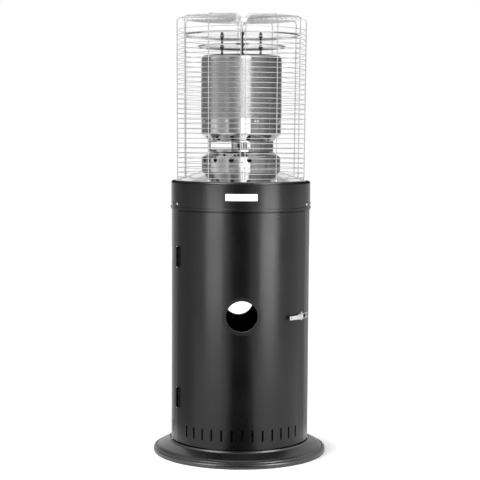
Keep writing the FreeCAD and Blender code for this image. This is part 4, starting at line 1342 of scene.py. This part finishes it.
@dataclass
class Burner:
    """Stainless cone, drum, neck, cup, access cover, emitter and reflectors."""

    palette: Palette
    fasteners: Fasteners
    sheet: float = 0.001
    lap: float = 0.001
    plate_sheet: float = 0.0012
    opening_margin: float = 0.0085
    land_margin: float = 0.005
    land_corner: float = 0.003
    edge_width: float = 0.0055
    edge_rise: float = 0.0074
    edge_corner: float = 0.005
    plate_sides: int = 224
    drum_straight: float = 0.047
    drum_flange: float = 0.006
    drum_corner: float = 0.0012
    shoulder: float = 0.012
    neck_radius: float = 0.1015
    neck_flange: float = 0.003
    neck_corner: float = 0.002
    air_hole: float = 0.015
    air_level: float = 0.039
    air_count: int = 14
    air_azimuth: float = -15.3
    punch_reach: tuple[float, float] = (0.012, 0.005)
    punch_sides: int = 32
    cone_height: float = 0.0206
    cone_corner: float = 0.004
    cup_hole: float = 0.014
    cup_hole_rise: float = 0.00824
    cover_turn: tuple[float, float] = (15.5, 73.0)
    cover_margin: float = 3.0
    cover_lift: float = 0.0002
    cover_foot: float = 0.005
    cover_fold: float = 0.001
    cover_top_gap: float = 0.001
    screw: tuple[float, float] = (0.0062, 0.0022)
    screw_drop: float = 0.0095
    screw_count: int = 8
    cap_corner: float = 0.010
    # Liners behind the air holes, painted near black as shade.
    shade_liner_gap: float = 0.0006
    shade_liner_sheet: float = 0.0004
    shade_liner_sides: int = 96
    liner_top: float = 0.0425
    cone_liner: tuple[float, float] = (0.0015, 0.002)
    disc_corner: float = 0.002
    disc_slant: float = 0.45
    rod_circle: float = 0.070
    rod_diameter: float = 0.007
    rod_count: int = 3
    rod_sides: int = 20
    rod_end: float = 0.0006
    nut: float = 0.012
    nut_height: float = 0.005
    nut_edge: float = 0.0005

    def build(self) -> None:
        """Models every sheet of the burner."""
        self.top_plate()
        self.drum()
        self.cup()
        self.cover()
        self.screws()
        self.shade_liner()
        self.emitter()
        self.reflectors()
        self.rods()

    @property
    def neck(self) -> float:
        """Outer radius of the sheets that lap over the neck."""
        return self.neck_radius + self.lap

    def slope(self, cup: Span) -> float:
        """How far the cup's cone widens for each metre of its height."""
        return (cup.radius - self.neck) / self.cone_height

    def top_plate(self) -> None:
        """Cone on the band, with a rounded edge that drops inside the band's rim."""
        plate, drum = Span.of("top_plate"), Span.of("lower_drum")
        edge = plate.radius
        level = Span.of("control_band").top + self.edge_rise
        path = rounded([
            (drum.radius - self.opening_margin, plate.top, 0.0),
            (drum.radius + self.land_margin, plate.top, self.land_corner),
            (edge - self.edge_width, level, self.edge_corner),
            (edge, level - self.edge_corner, self.edge_corner),
            (edge, plate.bottom, 0.0),
        ], 8)
        piece = Bench.turned("top_cone", walled(path, self.plate_sheet), self.plate_sides)
        self.palette.dress(piece, "stainless", "top_plate")

    def hole_azimuths(self) -> list[float]:
        """Places of the air holes round the burner.

        Returns:
            Azimuths of those that the access cover leaves free.
        """
        pitch = 360.0 / self.air_count
        spots = [self.air_azimuth + pitch * index for index in range(self.air_count)]
        first, last = self.cover_turn
        return [spot for spot in spots
                if not first - self.cover_margin < spot % 360.0 < last + self.cover_margin]

    def punched(self, piece: bpy.types.Object, level: float, diameter: float, inner: float,
                outer: float) -> None:
        """Cuts a row of round air holes.

        Args:
            piece: Piece that is cut.
            level: Level of the holes' middles.
            diameter: Diameter of each hole.
            inner: Smallest radius of the wall that is cut.
            outer: Largest radius of that wall.
        """
        behind, before = self.punch_reach
        parts = [Bench.rod("punch", at_azimuth(inner - behind, azimuth, level),
                           at_azimuth(outer + before, azimuth, level), diameter,
                           self.punch_sides)
                 for azimuth in self.hole_azimuths()]
        Bench.cut(piece, Bench.joined(parts, "punches"))

    def drum(self) -> None:
        """Lower drum with its row of air holes and domed shoulder."""
        span = Span.of("lower_drum")
        path = rounded([
            (span.radius - self.drum_flange, span.bottom, 0.0),
            (span.radius, span.bottom, self.drum_corner),
            (span.radius, span.bottom + self.drum_straight, self.shoulder),
            (self.neck, span.top, self.neck_corner),
            (self.neck_radius - self.neck_flange, span.top, 0.0),
        ], 8)
        piece = Bench.turned("burner_drum", walled(path, -self.sheet))
        self.punched(piece, span.bottom + self.air_level, self.air_hole, span.radius,
                     span.radius)
        self.palette.dress(piece, "stainless", "lower_drum")

    def cup(self) -> None:
        """Cup under the emitter, with the air holes of its cone."""
        span = Span.of("burner_cup")
        path = rounded([
            (self.neck_radius - self.neck_flange, span.bottom, 0.0),
            (self.neck, span.bottom, self.neck_corner),
            (span.radius, span.bottom + self.cone_height, self.cone_corner),
            (span.radius, span.top, 0.0),
        ], 6)
        piece = Bench.turned("burner_skirt", walled(path, -self.sheet))
        self.punched(piece, span.bottom + self.cup_hole_rise, self.cup_hole, self.neck_radius,
                     span.radius)
        self.palette.dress(piece, "stainless", "burner_cup")

    def cover(self) -> None:
        """Plain access cover over a part of the drum, the neck and the cup."""
        cup, drum = Span.of("burner_cup"), Span.of("lower_drum")
        lift = self.cover_lift
        fold = cup.bottom - (self.lap + lift) / self.slope(cup)
        path = rounded([
            (drum.radius + lift, drum.bottom + self.cover_foot, 0.0),
            (drum.radius + lift, drum.bottom + self.drum_straight, self.shoulder),
            (self.neck + lift, drum.top + lift, self.neck_corner),
            (self.neck_radius + lift, drum.top + 2.0 * lift, 0.0),
            (self.neck_radius + lift, fold, self.cover_fold),
            (cup.radius + lift, cup.bottom + self.cone_height, self.cone_corner),
            (cup.radius + lift, Span.of("emitter_screen").bottom - self.cover_top_gap, 0.0),
        ], 5)
        cover = Bench.turned("cover", walled(path, self.sheet))
        for azimuth, side in zip(self.cover_turn, (-1.0, 1.0)):
            Bench.activate(cover)
            Bench.edit()
            bpy.ops.mesh.bisect(plane_co=(0, 0, 0), clear_outer=True, use_fill=True,
                                plane_no=at_azimuth(1.0, azimuth + 90.0) * side)
            Bench.tidy("cover")
        cover.name = "access_panel"
        self.palette.dress(cover, "stainless", "access_cover")

    def screws(self) -> None:
        """Screws round the cup's skirt, and one at each edge of the cover."""
        first, last = self.cover_turn
        pitch = 360.0 / self.screw_count
        azimuths = [pitch * (index + 0.5) for index in range(self.screw_count)]
        radius = Span.of("burner_cup").radius
        level = Span.of("emitter_screen").bottom - self.screw_drop
        places = []
        for azimuth in azimuths + [first + self.cover_margin, last - self.cover_margin]:
            covered = first < azimuth < last
            seat = radius + (self.sheet + self.cover_lift if covered else 0.0)
            places.append(facing(azimuth, seat, level))
        self.fasteners.row("burner_screws", self.screw, places)

    def shade_liner(self) -> None:
        """Near-black liners behind the air holes of the drum and of the cup's cone, painted shade
        that keeps the holes black.
        """
        drum, cup = Span.of("lower_drum"), Span.of("burner_cup")
        hole = drum.bottom + self.air_level
        inner = drum.radius - self.sheet - self.shade_liner_gap
        straight = [(inner, hole - self.air_hole), (inner, drum.bottom + self.liner_top)]
        inner = self.neck - self.sheet - self.shade_liner_gap * 2.0
        low, high = self.cone_liner[0], self.cone_height - self.cone_liner[1]
        slanted = [(inner + rise * self.slope(cup), cup.bottom + rise) for rise in (low, high)]
        parts = [Bench.turned(name, walled(path, -self.shade_liner_sheet), self.shade_liner_sides)
                 for name, path in (("liner", straight), ("cone", slanted))]
        # The liners wear the near-black painted shade.
        self.palette.dress(Bench.joined(parts, "air_gauze"), "rod_dark", finish="shade_liner")

    def lidded(self, name: str, span: Span, corner: float, flare: float, steps: int
               ) -> bpy.types.Object:
        """Flat round sheet with its edge turned down.

        Args:
            name: Name of the piece.
            span: Span of the piece.
            corner: Radius of the corner.
            flare: How far the edge slants outwards.
            steps: Chords of the corner.

        Returns:
            The piece.
        """
        path = rounded([
            (AXIS_GAP, span.top, 0.0),
            (span.radius - flare, span.top, corner),
            (span.radius, span.bottom, 0.0),
        ], steps)
        inside = rounded([
            (span.radius - self.sheet, span.bottom, 0.0),
            (span.radius - flare - self.sheet, span.top - self.sheet, corner - self.sheet),
            (AXIS_GAP, span.top - self.sheet, 0.0),
        ], steps)
        return Bench.turned(name, path + inside, looped=False)

    def emitter(self) -> None:
        """Cap with a rounded edge on the perforated sleeve."""
        piece = self.lidded("emitter_crown", Span.of("emitter_cap"), self.cap_corner, 0.0, 10)
        self.palette.dress(piece, "stainless", "emitter_cap")

    def reflectors(self) -> None:
        """Two thin discs with their lips turned down and out."""
        for node, name in (("lower_reflector", "lower_disc"), ("upper_reflector", "upper_disc")):
            span = Span.of(node)
            flare = (span.top - span.bottom) * self.disc_slant
            piece = self.lidded(name, span, self.disc_corner, flare, 5)
            self.palette.dress(piece, "bright_disc", node)

    def rods(self) -> None:
        """Three rods, with a nut above and below each sheet that they carry."""
        low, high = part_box("reflector_rods")
        levels = []
        for node in ("emitter_cap", "lower_reflector", "upper_reflector"):
            top = Span.of(node).top
            levels += [(top, top + self.nut_height),
                       (top - self.sheet - self.nut_height, top - self.sheet)]
        corners = self.nut * 2.0 / math.sqrt(3.0)
        parts = []
        for index in range(self.rod_count):
            azimuth = index * 360.0 / self.rod_count
            parts.append(Bench.rod("rod", at_azimuth(self.rod_circle, azimuth, low.z),
                                   at_azimuth(self.rod_circle, azimuth, high.z),
                                   self.rod_diameter, self.rod_sides, self.rod_end))
            parts += [Bench.rod("nut", at_azimuth(self.rod_circle, azimuth, start),
                                at_azimuth(self.rod_circle, azimuth, end), corners, 6,
                                self.nut_edge)
                      for start, end in levels]
        self.palette.dress(Bench.joined(parts, "rods_with_nuts"), "rod_dark", "reflector_rods")


@dataclass
class Guard:
    """Wire guard in two halves: upright bars, hoops, rings and a closed top."""

    palette: Palette
    bar: float = 0.003
    bar_sides: int = 8
    wire: float = 0.0019
    wire_sides: int = 6
    flare: float = 0.003
    corner: float = 0.014
    corner_chords: int = 8
    split: float = 0.007
    hoop_drop: float = 0.011
    hoop_link: float = 0.014
    bite: float = 0.0004
    bar_azimuths: tuple[float, ...] = (31.0, 61.0, 90.0, 119.0, 149.0)
    first_ring: float = 0.003
    ring_pitch: float = 0.0152
    arc_pitch: float = 0.015
    arc_chord: float = 0.2 / 44.0
    fewest_chords: int = 12
    ring_lean: float = 0.12
    ring_lift: float = 0.0004
    clip_edge: float = 0.0005
    seed: int = 7

    def build(self) -> None:
        """Models both halves and their clips."""
        low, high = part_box("guard_right")
        for side, node in ((1.0, "guard_right"), (-1.0, "guard_left")):
            half = self.half(high.x - self.bar / 2.0, low.z, high.z, side)
            self.palette.dress(Bench.named(half, node + "_wires"), "chrome_wire", node)
        self.palette.refine("guard_clips", "rod_dark", self.clip_edge, finish="chrome_wire")

    def arc(self, radius: float, level: float, gap: float, drop: float = 0.0
            ) -> bpy.types.Object:
        """Half ring of wire on the +X side, from joint to joint.

        Args:
            radius: Radius of its middle line.
            level: Level of its middle line.
            gap: Distance of its round part from the joint.
            drop: How far its ends slope down to the hoop.

        Returns:
            The wire.
        """
        Bench.clear()
        start = math.asin(gap / radius)
        slope = Vector((self.split - gap, 0.0, -drop)) if drop > 0.0 else Vector()
        spot = at_azimuth(radius, math.degrees(start), level) + slope
        bpy.ops.mesh.primitive_circle_add(vertices=self.wire_sides, radius=self.wire / 2.0,
                                          location=spot,
                                          rotation=(math.pi / 2, 0, start - math.pi / 2))
        Bench.applied()
        Bench.edit()
        if drop > 0.0:
            Bench.lifted(-slope)
        steps = max(self.fewest_chords, round(radius / self.arc_chord))
        bpy.ops.mesh.spin(steps=steps, angle=2.0 * start - math.pi, center=(0, 0, 0),
                          axis=(0, 0, 1))
        if drop > 0.0:
            Bench.lifted(slope)
        Bench.capped()
        return Bench.tidy("arc", Bench.WIRE_SMOOTH)

    def bent(self, foot: Vector, crown: Vector, end: Vector) -> bpy.types.Object:
        """Bar that stands up, leaning out a little, and bends over the top.

        Args:
            foot: Lower end of its middle line.
            crown: Where its upright and its flat part would meet without a bend.
            end: Last point of its middle line, at the crown's level.

        Returns:
            The bar.
        """
        Bench.clear()
        way = (end - crown).normalized()
        bend = crown - Vector((0, 0, self.corner))
        bpy.ops.mesh.primitive_circle_add(vertices=self.bar_sides, radius=self.bar / 2.0,
                                          location=foot)
        Bench.applied()
        Bench.edit()
        Bench.lifted(bend - foot)
        bpy.ops.mesh.spin(steps=self.corner_chords, angle=-math.pi / 2.0,
                          center=bend + way * self.corner, axis=Vector((0, 0, 1)).cross(way))
        Bench.lifted(way * ((end - crown).length - self.corner))
        Bench.capped()
        return Bench.tidy("bar", Bench.WIRE_SMOOTH)

    def half(self, line: float, bottom: float, top: float, side: float) -> bpy.types.Object:
        """One half of the guard.

        Args:
            line: Radius of the bars' middle lines at the top.
            bottom: Level of the guard's lower end.
            top: Level of its top.
            side: 1 for the +X half, -1 for the other one.

        Returns:
            The joined half.
        """
        chance = random.Random(self.seed + (0 if side > 0 else 1))
        over = top - self.bar / 2.0
        joint = over - self.hoop_drop
        foot = line - self.flare
        parts = []
        for azimuth in self.bar_azimuths:
            inner = self.split / math.sin(math.radians(azimuth))
            parts.append(self.bent(at_azimuth(foot, azimuth, bottom),
                                   at_azimuth(line, azimuth, over),
                                   at_azimuth(inner, azimuth, over)))
        for front in (-1.0, 1.0):
            low, high = (front * math.sqrt(reach * reach - self.split * self.split)
                         for reach in (foot, line))
            parts.append(self.bent(Vector((self.split, low, bottom)),
                                   Vector((self.split, high, joint)),
                                   Vector((self.split, 0.0, joint))))
        inside = self.bar / 2.0 + self.wire / 2.0 - self.bite
        model = self.arc(foot - inside, 0.0, self.split)
        places = []
        level = bottom + self.first_ring
        while level < joint - self.corner:
            reach = foot + self.flare * (level - bottom) / (top - bottom) - inside
            share = reach / (foot - inside)
            lean = math.radians(chance.uniform(-self.ring_lean, self.ring_lean))
            lift = level + chance.uniform(-self.ring_lift, self.ring_lift)
            places.append(Matrix.Translation((0, 0, lift)) @ Matrix.Rotation(lean, 4, "X")
                          @ Matrix.Diagonal((share, share, 1.0, 1.0)))
            level += self.ring_pitch
        parts.append(Bench.copied(model, places, "rings"))
        reach = line - self.corner
        while reach > self.split + self.hoop_link + self.arc_pitch / 2.0:
            parts.append(self.arc(reach, over - inside, self.split + self.hoop_link,
                                  self.hoop_drop - inside))
            reach -= self.arc_pitch
        half = Bench.joined(parts, "half")
        if side < 0.0:
            Bench.activate(half)
            half.scale = (-1.0, 1.0, 1.0)
            Bench.applied()
            Bench.edit()
            half = Bench.tidy("half", Bench.WIRE_SMOOTH)
        return half


@dataclass
class Controls:
    """Knob, bezel and gas parts at the back."""

    palette: Palette

    def build(self) -> None:
        """Rounds the edges of the control parts."""
        for node, slot, width, body in (
            ("control_knob", "knob_plastic", 0.001, Body.KNOB),
            ("knob_bezel", "galvanised", 0.0005, Body.HEATER),
            ("gas_valve", "brass", 0.0015, Body.HEATER),
            ("gas_inlet", "brass", 0.0005, Body.HEATER),
            ("tilt_switch", "switch_plastic", 0.0015, Body.HEATER),
        ):
            self.palette.refine(node, slot, width, body, 3)


@dataclass(frozen=True)
class Softbox:
    """Rectangular area light that faces the heater."""

    name: str
    azimuth: float
    distance: float
    size: tuple[float, float]
    level: float
    radiance: float
    aim: tuple[float, float, float] = (0.0, 0.0, 0.75)

    def hung(self) -> bpy.types.Object:
        """Builds the light and hangs it in the scene.

        Returns:
            The light.
        """
        data = bpy.data.lights.new(self.name, "AREA")
        data.shape = "RECTANGLE"
        data.size, data.size_y = self.size
        data.energy = self.radiance * math.pi * self.size[0] * self.size[1]
        lamp = bpy.data.objects.new(self.name, data)
        lamp.location = at_azimuth(self.distance, self.azimuth, self.level)
        lamp.rotation_euler = (Vector(self.aim) - lamp.location).to_track_quat("-Z", "Y").to_euler()
        bpy.context.scene.collection.objects.link(lamp)
        return lamp


@dataclass
class Studio:
    """Camera, soft lights, pale floor and white surroundings."""

    focal_pixels: float = 1336.08
    frame_pixels: float = 480.0
    sensor: float = 36.0
    distance: float = 4.1988
    height: float = 0.9890
    pitch: float = 0.07658
    roll: float = 0.0059
    turn: float = 1.45
    aim_shift: tuple[float, float] = (0.0008, 0.0004)
    ambient: float = 0.5
    floor_size: float = 16.0
    floor_sink: float = 0.0002
    floor_color: tuple[float, float, float, float] = (0.8, 0.8, 0.8, 1.0)
    floor_roughness: float = 0.9
    floor_gleam: float = 0.1
    # Floor glow, weak near the heater and full further away: a painted shadow round the base.
    floor_lift: tuple[float, float] = (0.05, 0.8)
    floor_shadow_reach: tuple[float, float] = (0.2, 0.36)
    floor_share: float = 0.6
    # Centre of that painted shadow, right of the heater, so that it lies mostly on the right.
    painted_shadow_centre: tuple[float, float, float] = (0.06, 0.02, 0.0)
    flag_glow: float = 0.01
    flag_place: tuple[float, float, float] = (-0.08, -2.35, 0.75)
    flag_size: tuple[float, float, float] = (1.2, 1.5, 1.0)
    flag_section: Steps = ((0.29, 0.003), (2.35, 0.004))
    flag_turn: tuple[float, float] = (-18.5, 37.0)
    tent_sides: int = 96
    tent_radius: float = 1.1
    tent_bottom: float = 0.852
    tent_top: float = 2.2
    tent_glow: Steps = (
        (-180.0, 0.8), (-165.0, 0.7), (-148.0, 0.25), (-120.0, 0.17), (-97.0, 0.12),
        (-93.0, 0.7), (-77.0, 0.9), (-66.0, 0.52), (-56.0, 0.4), (-46.0, 0.5), (-38.0, 0.8),
        (-33.0, 0.2), (-21.0, 0.22), (-11.0, 0.4), (-5.0, 0.8), (0.0, 2.2), (14.0, 2.7),
        (22.0, 2.2), (25.0, 0.25), (31.0, 0.28), (36.0, 0.48), (42.0, 0.36), (62.0, 0.34),
        (68.0, 0.2), (82.0, 0.16), (92.0, 0.2), (105.0, 0.14), (140.0, 0.14), (150.0, 0.3),
        (165.0, 0.7), (180.0, 0.8),
    )
    disc_card_glow: float = 1.15
    disc_card_place: tuple[float, float, float] = (0.0, 1.0, 1.24)
    disc_card_size: tuple[float, float, float] = (0.85, 0.3, 1.0)
    card_sides: int = 120
    card_radius: float = 0.5
    card_bottom: float = 0.003
    card_top: float = 0.845
    card_glow: Steps = (
        (-180.0, 0.95), (-136.0, 1.0), (-129.0, 0.9), (-123.0, 0.52), (-108.0, 0.38),
        (-90.0, 0.46), (-80.0, 0.55), (-70.0, 0.75), (-62.0, 0.9), (62.0, 0.9), (96.0, 0.9),
        (104.0, 0.65), (180.0, 0.6),
    )
    card_gap: tuple[float, float] = (-66.0, 94.0)
    body_lights: tuple[Softbox, ...] = (
        Softbox("left_softbox", -43.0, 2.5, (1.3, 2.3), 1.25, 5.0),
        Softbox("right_softbox", 46.0, 2.5, (1.25, 2.3), 1.25, 7.5),
    )
    rim_lights: tuple[Softbox, ...] = (
        Softbox("left_rim_light", -40.0, 0.95, (0.6, 0.6), 1.6, 20.0),
        Softbox("right_rim_light", 48.0, 0.95, (0.6, 0.6), 1.6, 20.0),
    )
    back_light: Softbox = Softbox("back_light", -128.0, 3.0, (1.6, 1.6), 2.6, 2.0)

    def build(self, steel: Sequence[bpy.types.Object], band: bpy.types.Object) -> None:
        """Sets up the whole studio.

        Args:
            steel: Bright pieces that the softboxes leave out.
            band: Piece whose rolled rim has its own small lights.
        """
        self.camera()
        self.surroundings()
        self.floor()
        self.flag()
        bpy.context.view_layer.update()
        near = self.linked([piece for piece in bpy.data.objects
                            if piece.type == "MESH" and piece is not band
                            and self.top(piece) > self.tent_bottom], "INCLUDE")
        self.tent(near)
        self.disc_card(near)
        self.edge_cards()
        apart = self.linked(steel, "EXCLUDE")
        for light in self.body_lights:
            light.hung().light_linking.receiver_collection = apart
        rim = self.linked([band], "INCLUDE")
        for light in self.rim_lights:
            lamp = light.hung()
            lamp.visible_camera = False
            lamp.light_linking.receiver_collection = rim
        self.back_light.hung()

    def camera(self) -> None:
        """Camera at the photograph's viewing angle."""
        data = bpy.data.cameras.new("camera")
        data.sensor_width = self.sensor
        data.lens = self.focal_pixels * self.sensor / self.frame_pixels
        camera = bpy.data.objects.new("camera", data)
        side, rise = self.aim_shift
        camera.location = at_azimuth(self.distance, -self.turn, self.height)
        camera.rotation_euler = (math.pi / 2.0 - self.pitch + rise, -self.roll,
                                 side - math.radians(self.turn))
        bpy.context.scene.collection.objects.link(camera)
        bpy.context.scene.camera = camera

    @staticmethod
    def top(piece: bpy.types.Object) -> float:
        """Level of a piece's highest corner."""
        return max((piece.matrix_world @ Vector(corner)).z for corner in piece.bound_box)

    @staticmethod
    def linked(pieces: Sequence[bpy.types.Object], state: str) -> bpy.types.Collection:
        """Collection by which a lamp leaves out some pieces or lights only them.

        Args:
            pieces: The pieces.
            state: INCLUDE to light only them, EXCLUDE to leave them out.

        Returns:
            The collection, for the lamp's receivers.
        """
        receivers = bpy.data.collections.new("lit_" + state.lower())
        for piece in pieces:
            receivers.objects.link(piece)
        for entry in receivers.collection_objects:
            entry.light_linking.link_state = state
        return receivers

    @staticmethod
    def seen(hand: Tree) -> tuple[bpy.types.NodeSocket, bpy.types.NodeSocket]:
        """Rays that see the surroundings.

        Args:
            hand: Short hand of the tree that asks.

        Returns:
            One for camera, glossy and transmission rays, and one for camera rays alone.
        """
        rays = hand.add("LightPath").outputs
        either = hand.math("MAXIMUM", rays["Is Camera Ray"], rays["Is Glossy Ray"])
        return (hand.math("MAXIMUM", either, rays["Is Transmission Ray"]),
                rays["Is Camera Ray"])

    def surroundings(self) -> None:
        """White background that lights the heater softly."""
        world = bpy.data.worlds.new("white_room")
        world.use_nodes = True
        hand = Tree(world.node_tree)
        background = world.node_tree.nodes["Background"]
        background.inputs["Color"].default_value = WHITE
        seen, _ = self.seen(hand)
        hand.wire(hand.spread(seen, 0.0, 1.0, self.ambient, 1.0), background.inputs["Strength"])
        bpy.context.scene.world = world
        bpy.context.scene.view_settings.view_transform = "Standard"

    def floor(self) -> None:
        """Pale floor that keeps the heater's shadow and turns white further away; its glow is
        weakest close to the heater's right, a painted shadow there.
        """
        Bench.clear()
        bpy.ops.mesh.primitive_plane_add(size=self.floor_size,
                                         location=(0, 0, -self.floor_sink))
        floor = Bench.applied()
        floor.name = "floor"
        material, hand, shader = principled(
            "pale_floor", Base_Color=self.floor_color, Roughness=self.floor_roughness,
            Specular_IOR_Level=self.floor_gleam, Emission_Color=WHITE)
        # The glow grows with the distance from a point right of the heater: painted shadow round
        # the base, deepest on its right.
        shift = hand.add("VectorMath", operation="SUBTRACT")
        hand.feed(shift.inputs, hand.place(), self.painted_shadow_centre)
        reach = hand.length(shift.outputs[0])
        lift = hand.spread(reach, *self.floor_shadow_reach, *self.floor_lift)
        seen, direct = self.seen(hand)
        share = hand.math("MULTIPLY_ADD", seen, self.floor_share,
                          hand.math("MULTIPLY", direct, 1.0 - self.floor_share))
        hand.wire(hand.math("MULTIPLY", share, lift), shader.inputs["Emission Strength"])
        floor.data.materials.append(material)

    @staticmethod
    def reflected_only(piece: bpy.types.Object, name: str, material: bpy.types.Material) -> None:
        """Makes a prop that shows only in reflections.

        Args:
            piece: The prop.
            name: Name of the prop.
            material: Its glowing material.
        """
        piece.name = name
        bpy.ops.object.transform_apply()
        piece.data.materials.append(material)
        piece.visible_camera = False
        piece.visible_diffuse = False
        piece.visible_shadow = False

    @staticmethod
    def glowing(name: str, strength: float = 1.0) -> tuple[bpy.types.Material, Tree,
                                                          bpy.types.Node]:
        """Black material with a white glow."""
        return principled(name, Base_Color=BLACK, Roughness=1.0, Specular_IOR_Level=0.0,
                          Emission_Color=WHITE, Emission_Strength=strength)

    @staticmethod
    def standing(place: tuple[float, float, float], size: tuple[float, float, float]
                 ) -> bpy.types.Object:
        """Upright card.

        Args:
            place: Its middle.
            size: Its width and height, and 1.

        Returns:
            The card.
        """
        Bench.clear()
        bpy.ops.mesh.primitive_plane_add(size=1.0, location=place, rotation=UPRIGHT)
        bpy.context.active_object.scale = size
        return bpy.context.active_object

    @staticmethod
    def tube(sides: int, radius: float, bottom: float, top: float) -> bpy.types.Object:
        """Open round wall about the middle axis.

        Args:
            sides: Number of its sides.
            radius: Its radius.
            bottom: Level of its lower edge.
            top: Level of its upper edge.

        Returns:
            The wall.
        """
        Bench.clear()
        bpy.ops.mesh.primitive_cylinder_add(vertices=sides, radius=radius, depth=top - bottom,
                                            end_fill_type="NOTHING",
                                            location=(0, 0, (top + bottom) / 2.0))
        return Bench.applied()

    def flag(self) -> None:
        """Dark flag behind the camera and on the floor before it."""
        material, _, _ = self.glowing("dark_flag", self.flag_glow)
        wall = self.standing(self.flag_place, self.flag_size)
        self.reflected_only(wall, "flag_wall", material)
        floor = Bench.swept("wedge", self.flag_section, *self.flag_turn)
        self.reflected_only(floor, "flag_floor", material)

    def graded(self, name: str, glow: Steps) -> bpy.types.Material:
        """Material whose glow follows the azimuth.

        Args:
            name: Name of the material.
            glow: Azimuths and the strength of the glow at each.

        Returns:
            The material.
        """
        material, hand, shader = self.glowing(name)
        x, y, _ = hand.parts(hand.place())
        azimuth = hand.math("ARCTAN2", x, hand.math("MULTIPLY", y, -1.0))
        ramp = hand.add("ValToRGB")
        hand.wire(hand.spread(azimuth, -math.pi, math.pi), ramp.inputs["Fac"])
        top = max(value for _, value in glow)
        stops = ramp.color_ramp.elements
        for index, (angle, value) in enumerate(glow):
            place = angle / 360.0 + 0.5
            stop = stops[index] if index < 2 else stops.new(place)
            stop.position = place
            stop.color = (value / top, value / top, value / top, 1.0)
        hand.wire(hand.math("MULTIPLY", ramp.outputs["Color"], top),
                  shader.inputs["Emission Strength"])
        return material

    def tent(self, near: bpy.types.Collection) -> None:
        """Graded tent round the burner that its steel reflects.

        Args:
            near: The pieces that mirror it.
        """
        tent = self.tube(self.tent_sides, self.tent_radius, self.tent_bottom, self.tent_top)
        self.reflected_only(tent, "graded_tent", self.graded("graded_tent", self.tent_glow))
        tent.light_linking.receiver_collection = near

    def disc_card(self, near: bpy.types.Collection) -> None:
        """Bright card behind the heater that the discs mirror from below.

        Args:
            near: The pieces that mirror it.
        """
        card = self.standing(self.disc_card_place, self.disc_card_size)
        material, _, _ = self.glowing("disc_card", self.disc_card_glow)
        self.reflected_only(card, "disc_card", material)
        card.light_linking.receiver_collection = near

    def edge_cards(self) -> None:
        """Grey cards beside and behind the heater that shade the edges of its body."""
        card = self.tube(self.card_sides, self.card_radius, self.card_bottom, self.card_top)
        left, right = self.card_gap
        Bench.pick(card, lambda face: left < math.degrees(
            math.atan2(face.center.x, -face.center.y)) < right)
        bpy.ops.mesh.delete(type="FACE")
        Bench.activate(card)
        self.reflected_only(card, "edge_cards", self.graded("edge_cards", self.card_glow))


def main() -> None:
    """Builds the heater's looks on its frame, in order."""
    logging.basicConfig(level=logging.INFO, format="%(name)s %(message)s")
    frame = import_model()
    palette = Palette()
    palette.build()
    palette.dress_nodes(frame)
    fasteners = Fasteners(palette)
    housing = Span.of("housing_shell")
    Base(palette, fasteners).build(housing)
    Housing(palette, fasteners).build()
    Latch(palette).build()
    Band(palette, fasteners).build(housing)
    Burner(palette, fasteners).build()
    Guard(palette).build()
    Controls(palette).build()
    steel = palette.wearing("stainless", "emitter_mesh", "bright_disc", "rod_dark",
                            "chrome_wire")
    Studio().build(steel, bpy.data.objects["band_skin"])
    Bench.clear()


if __name__ == "__main__":
    main()
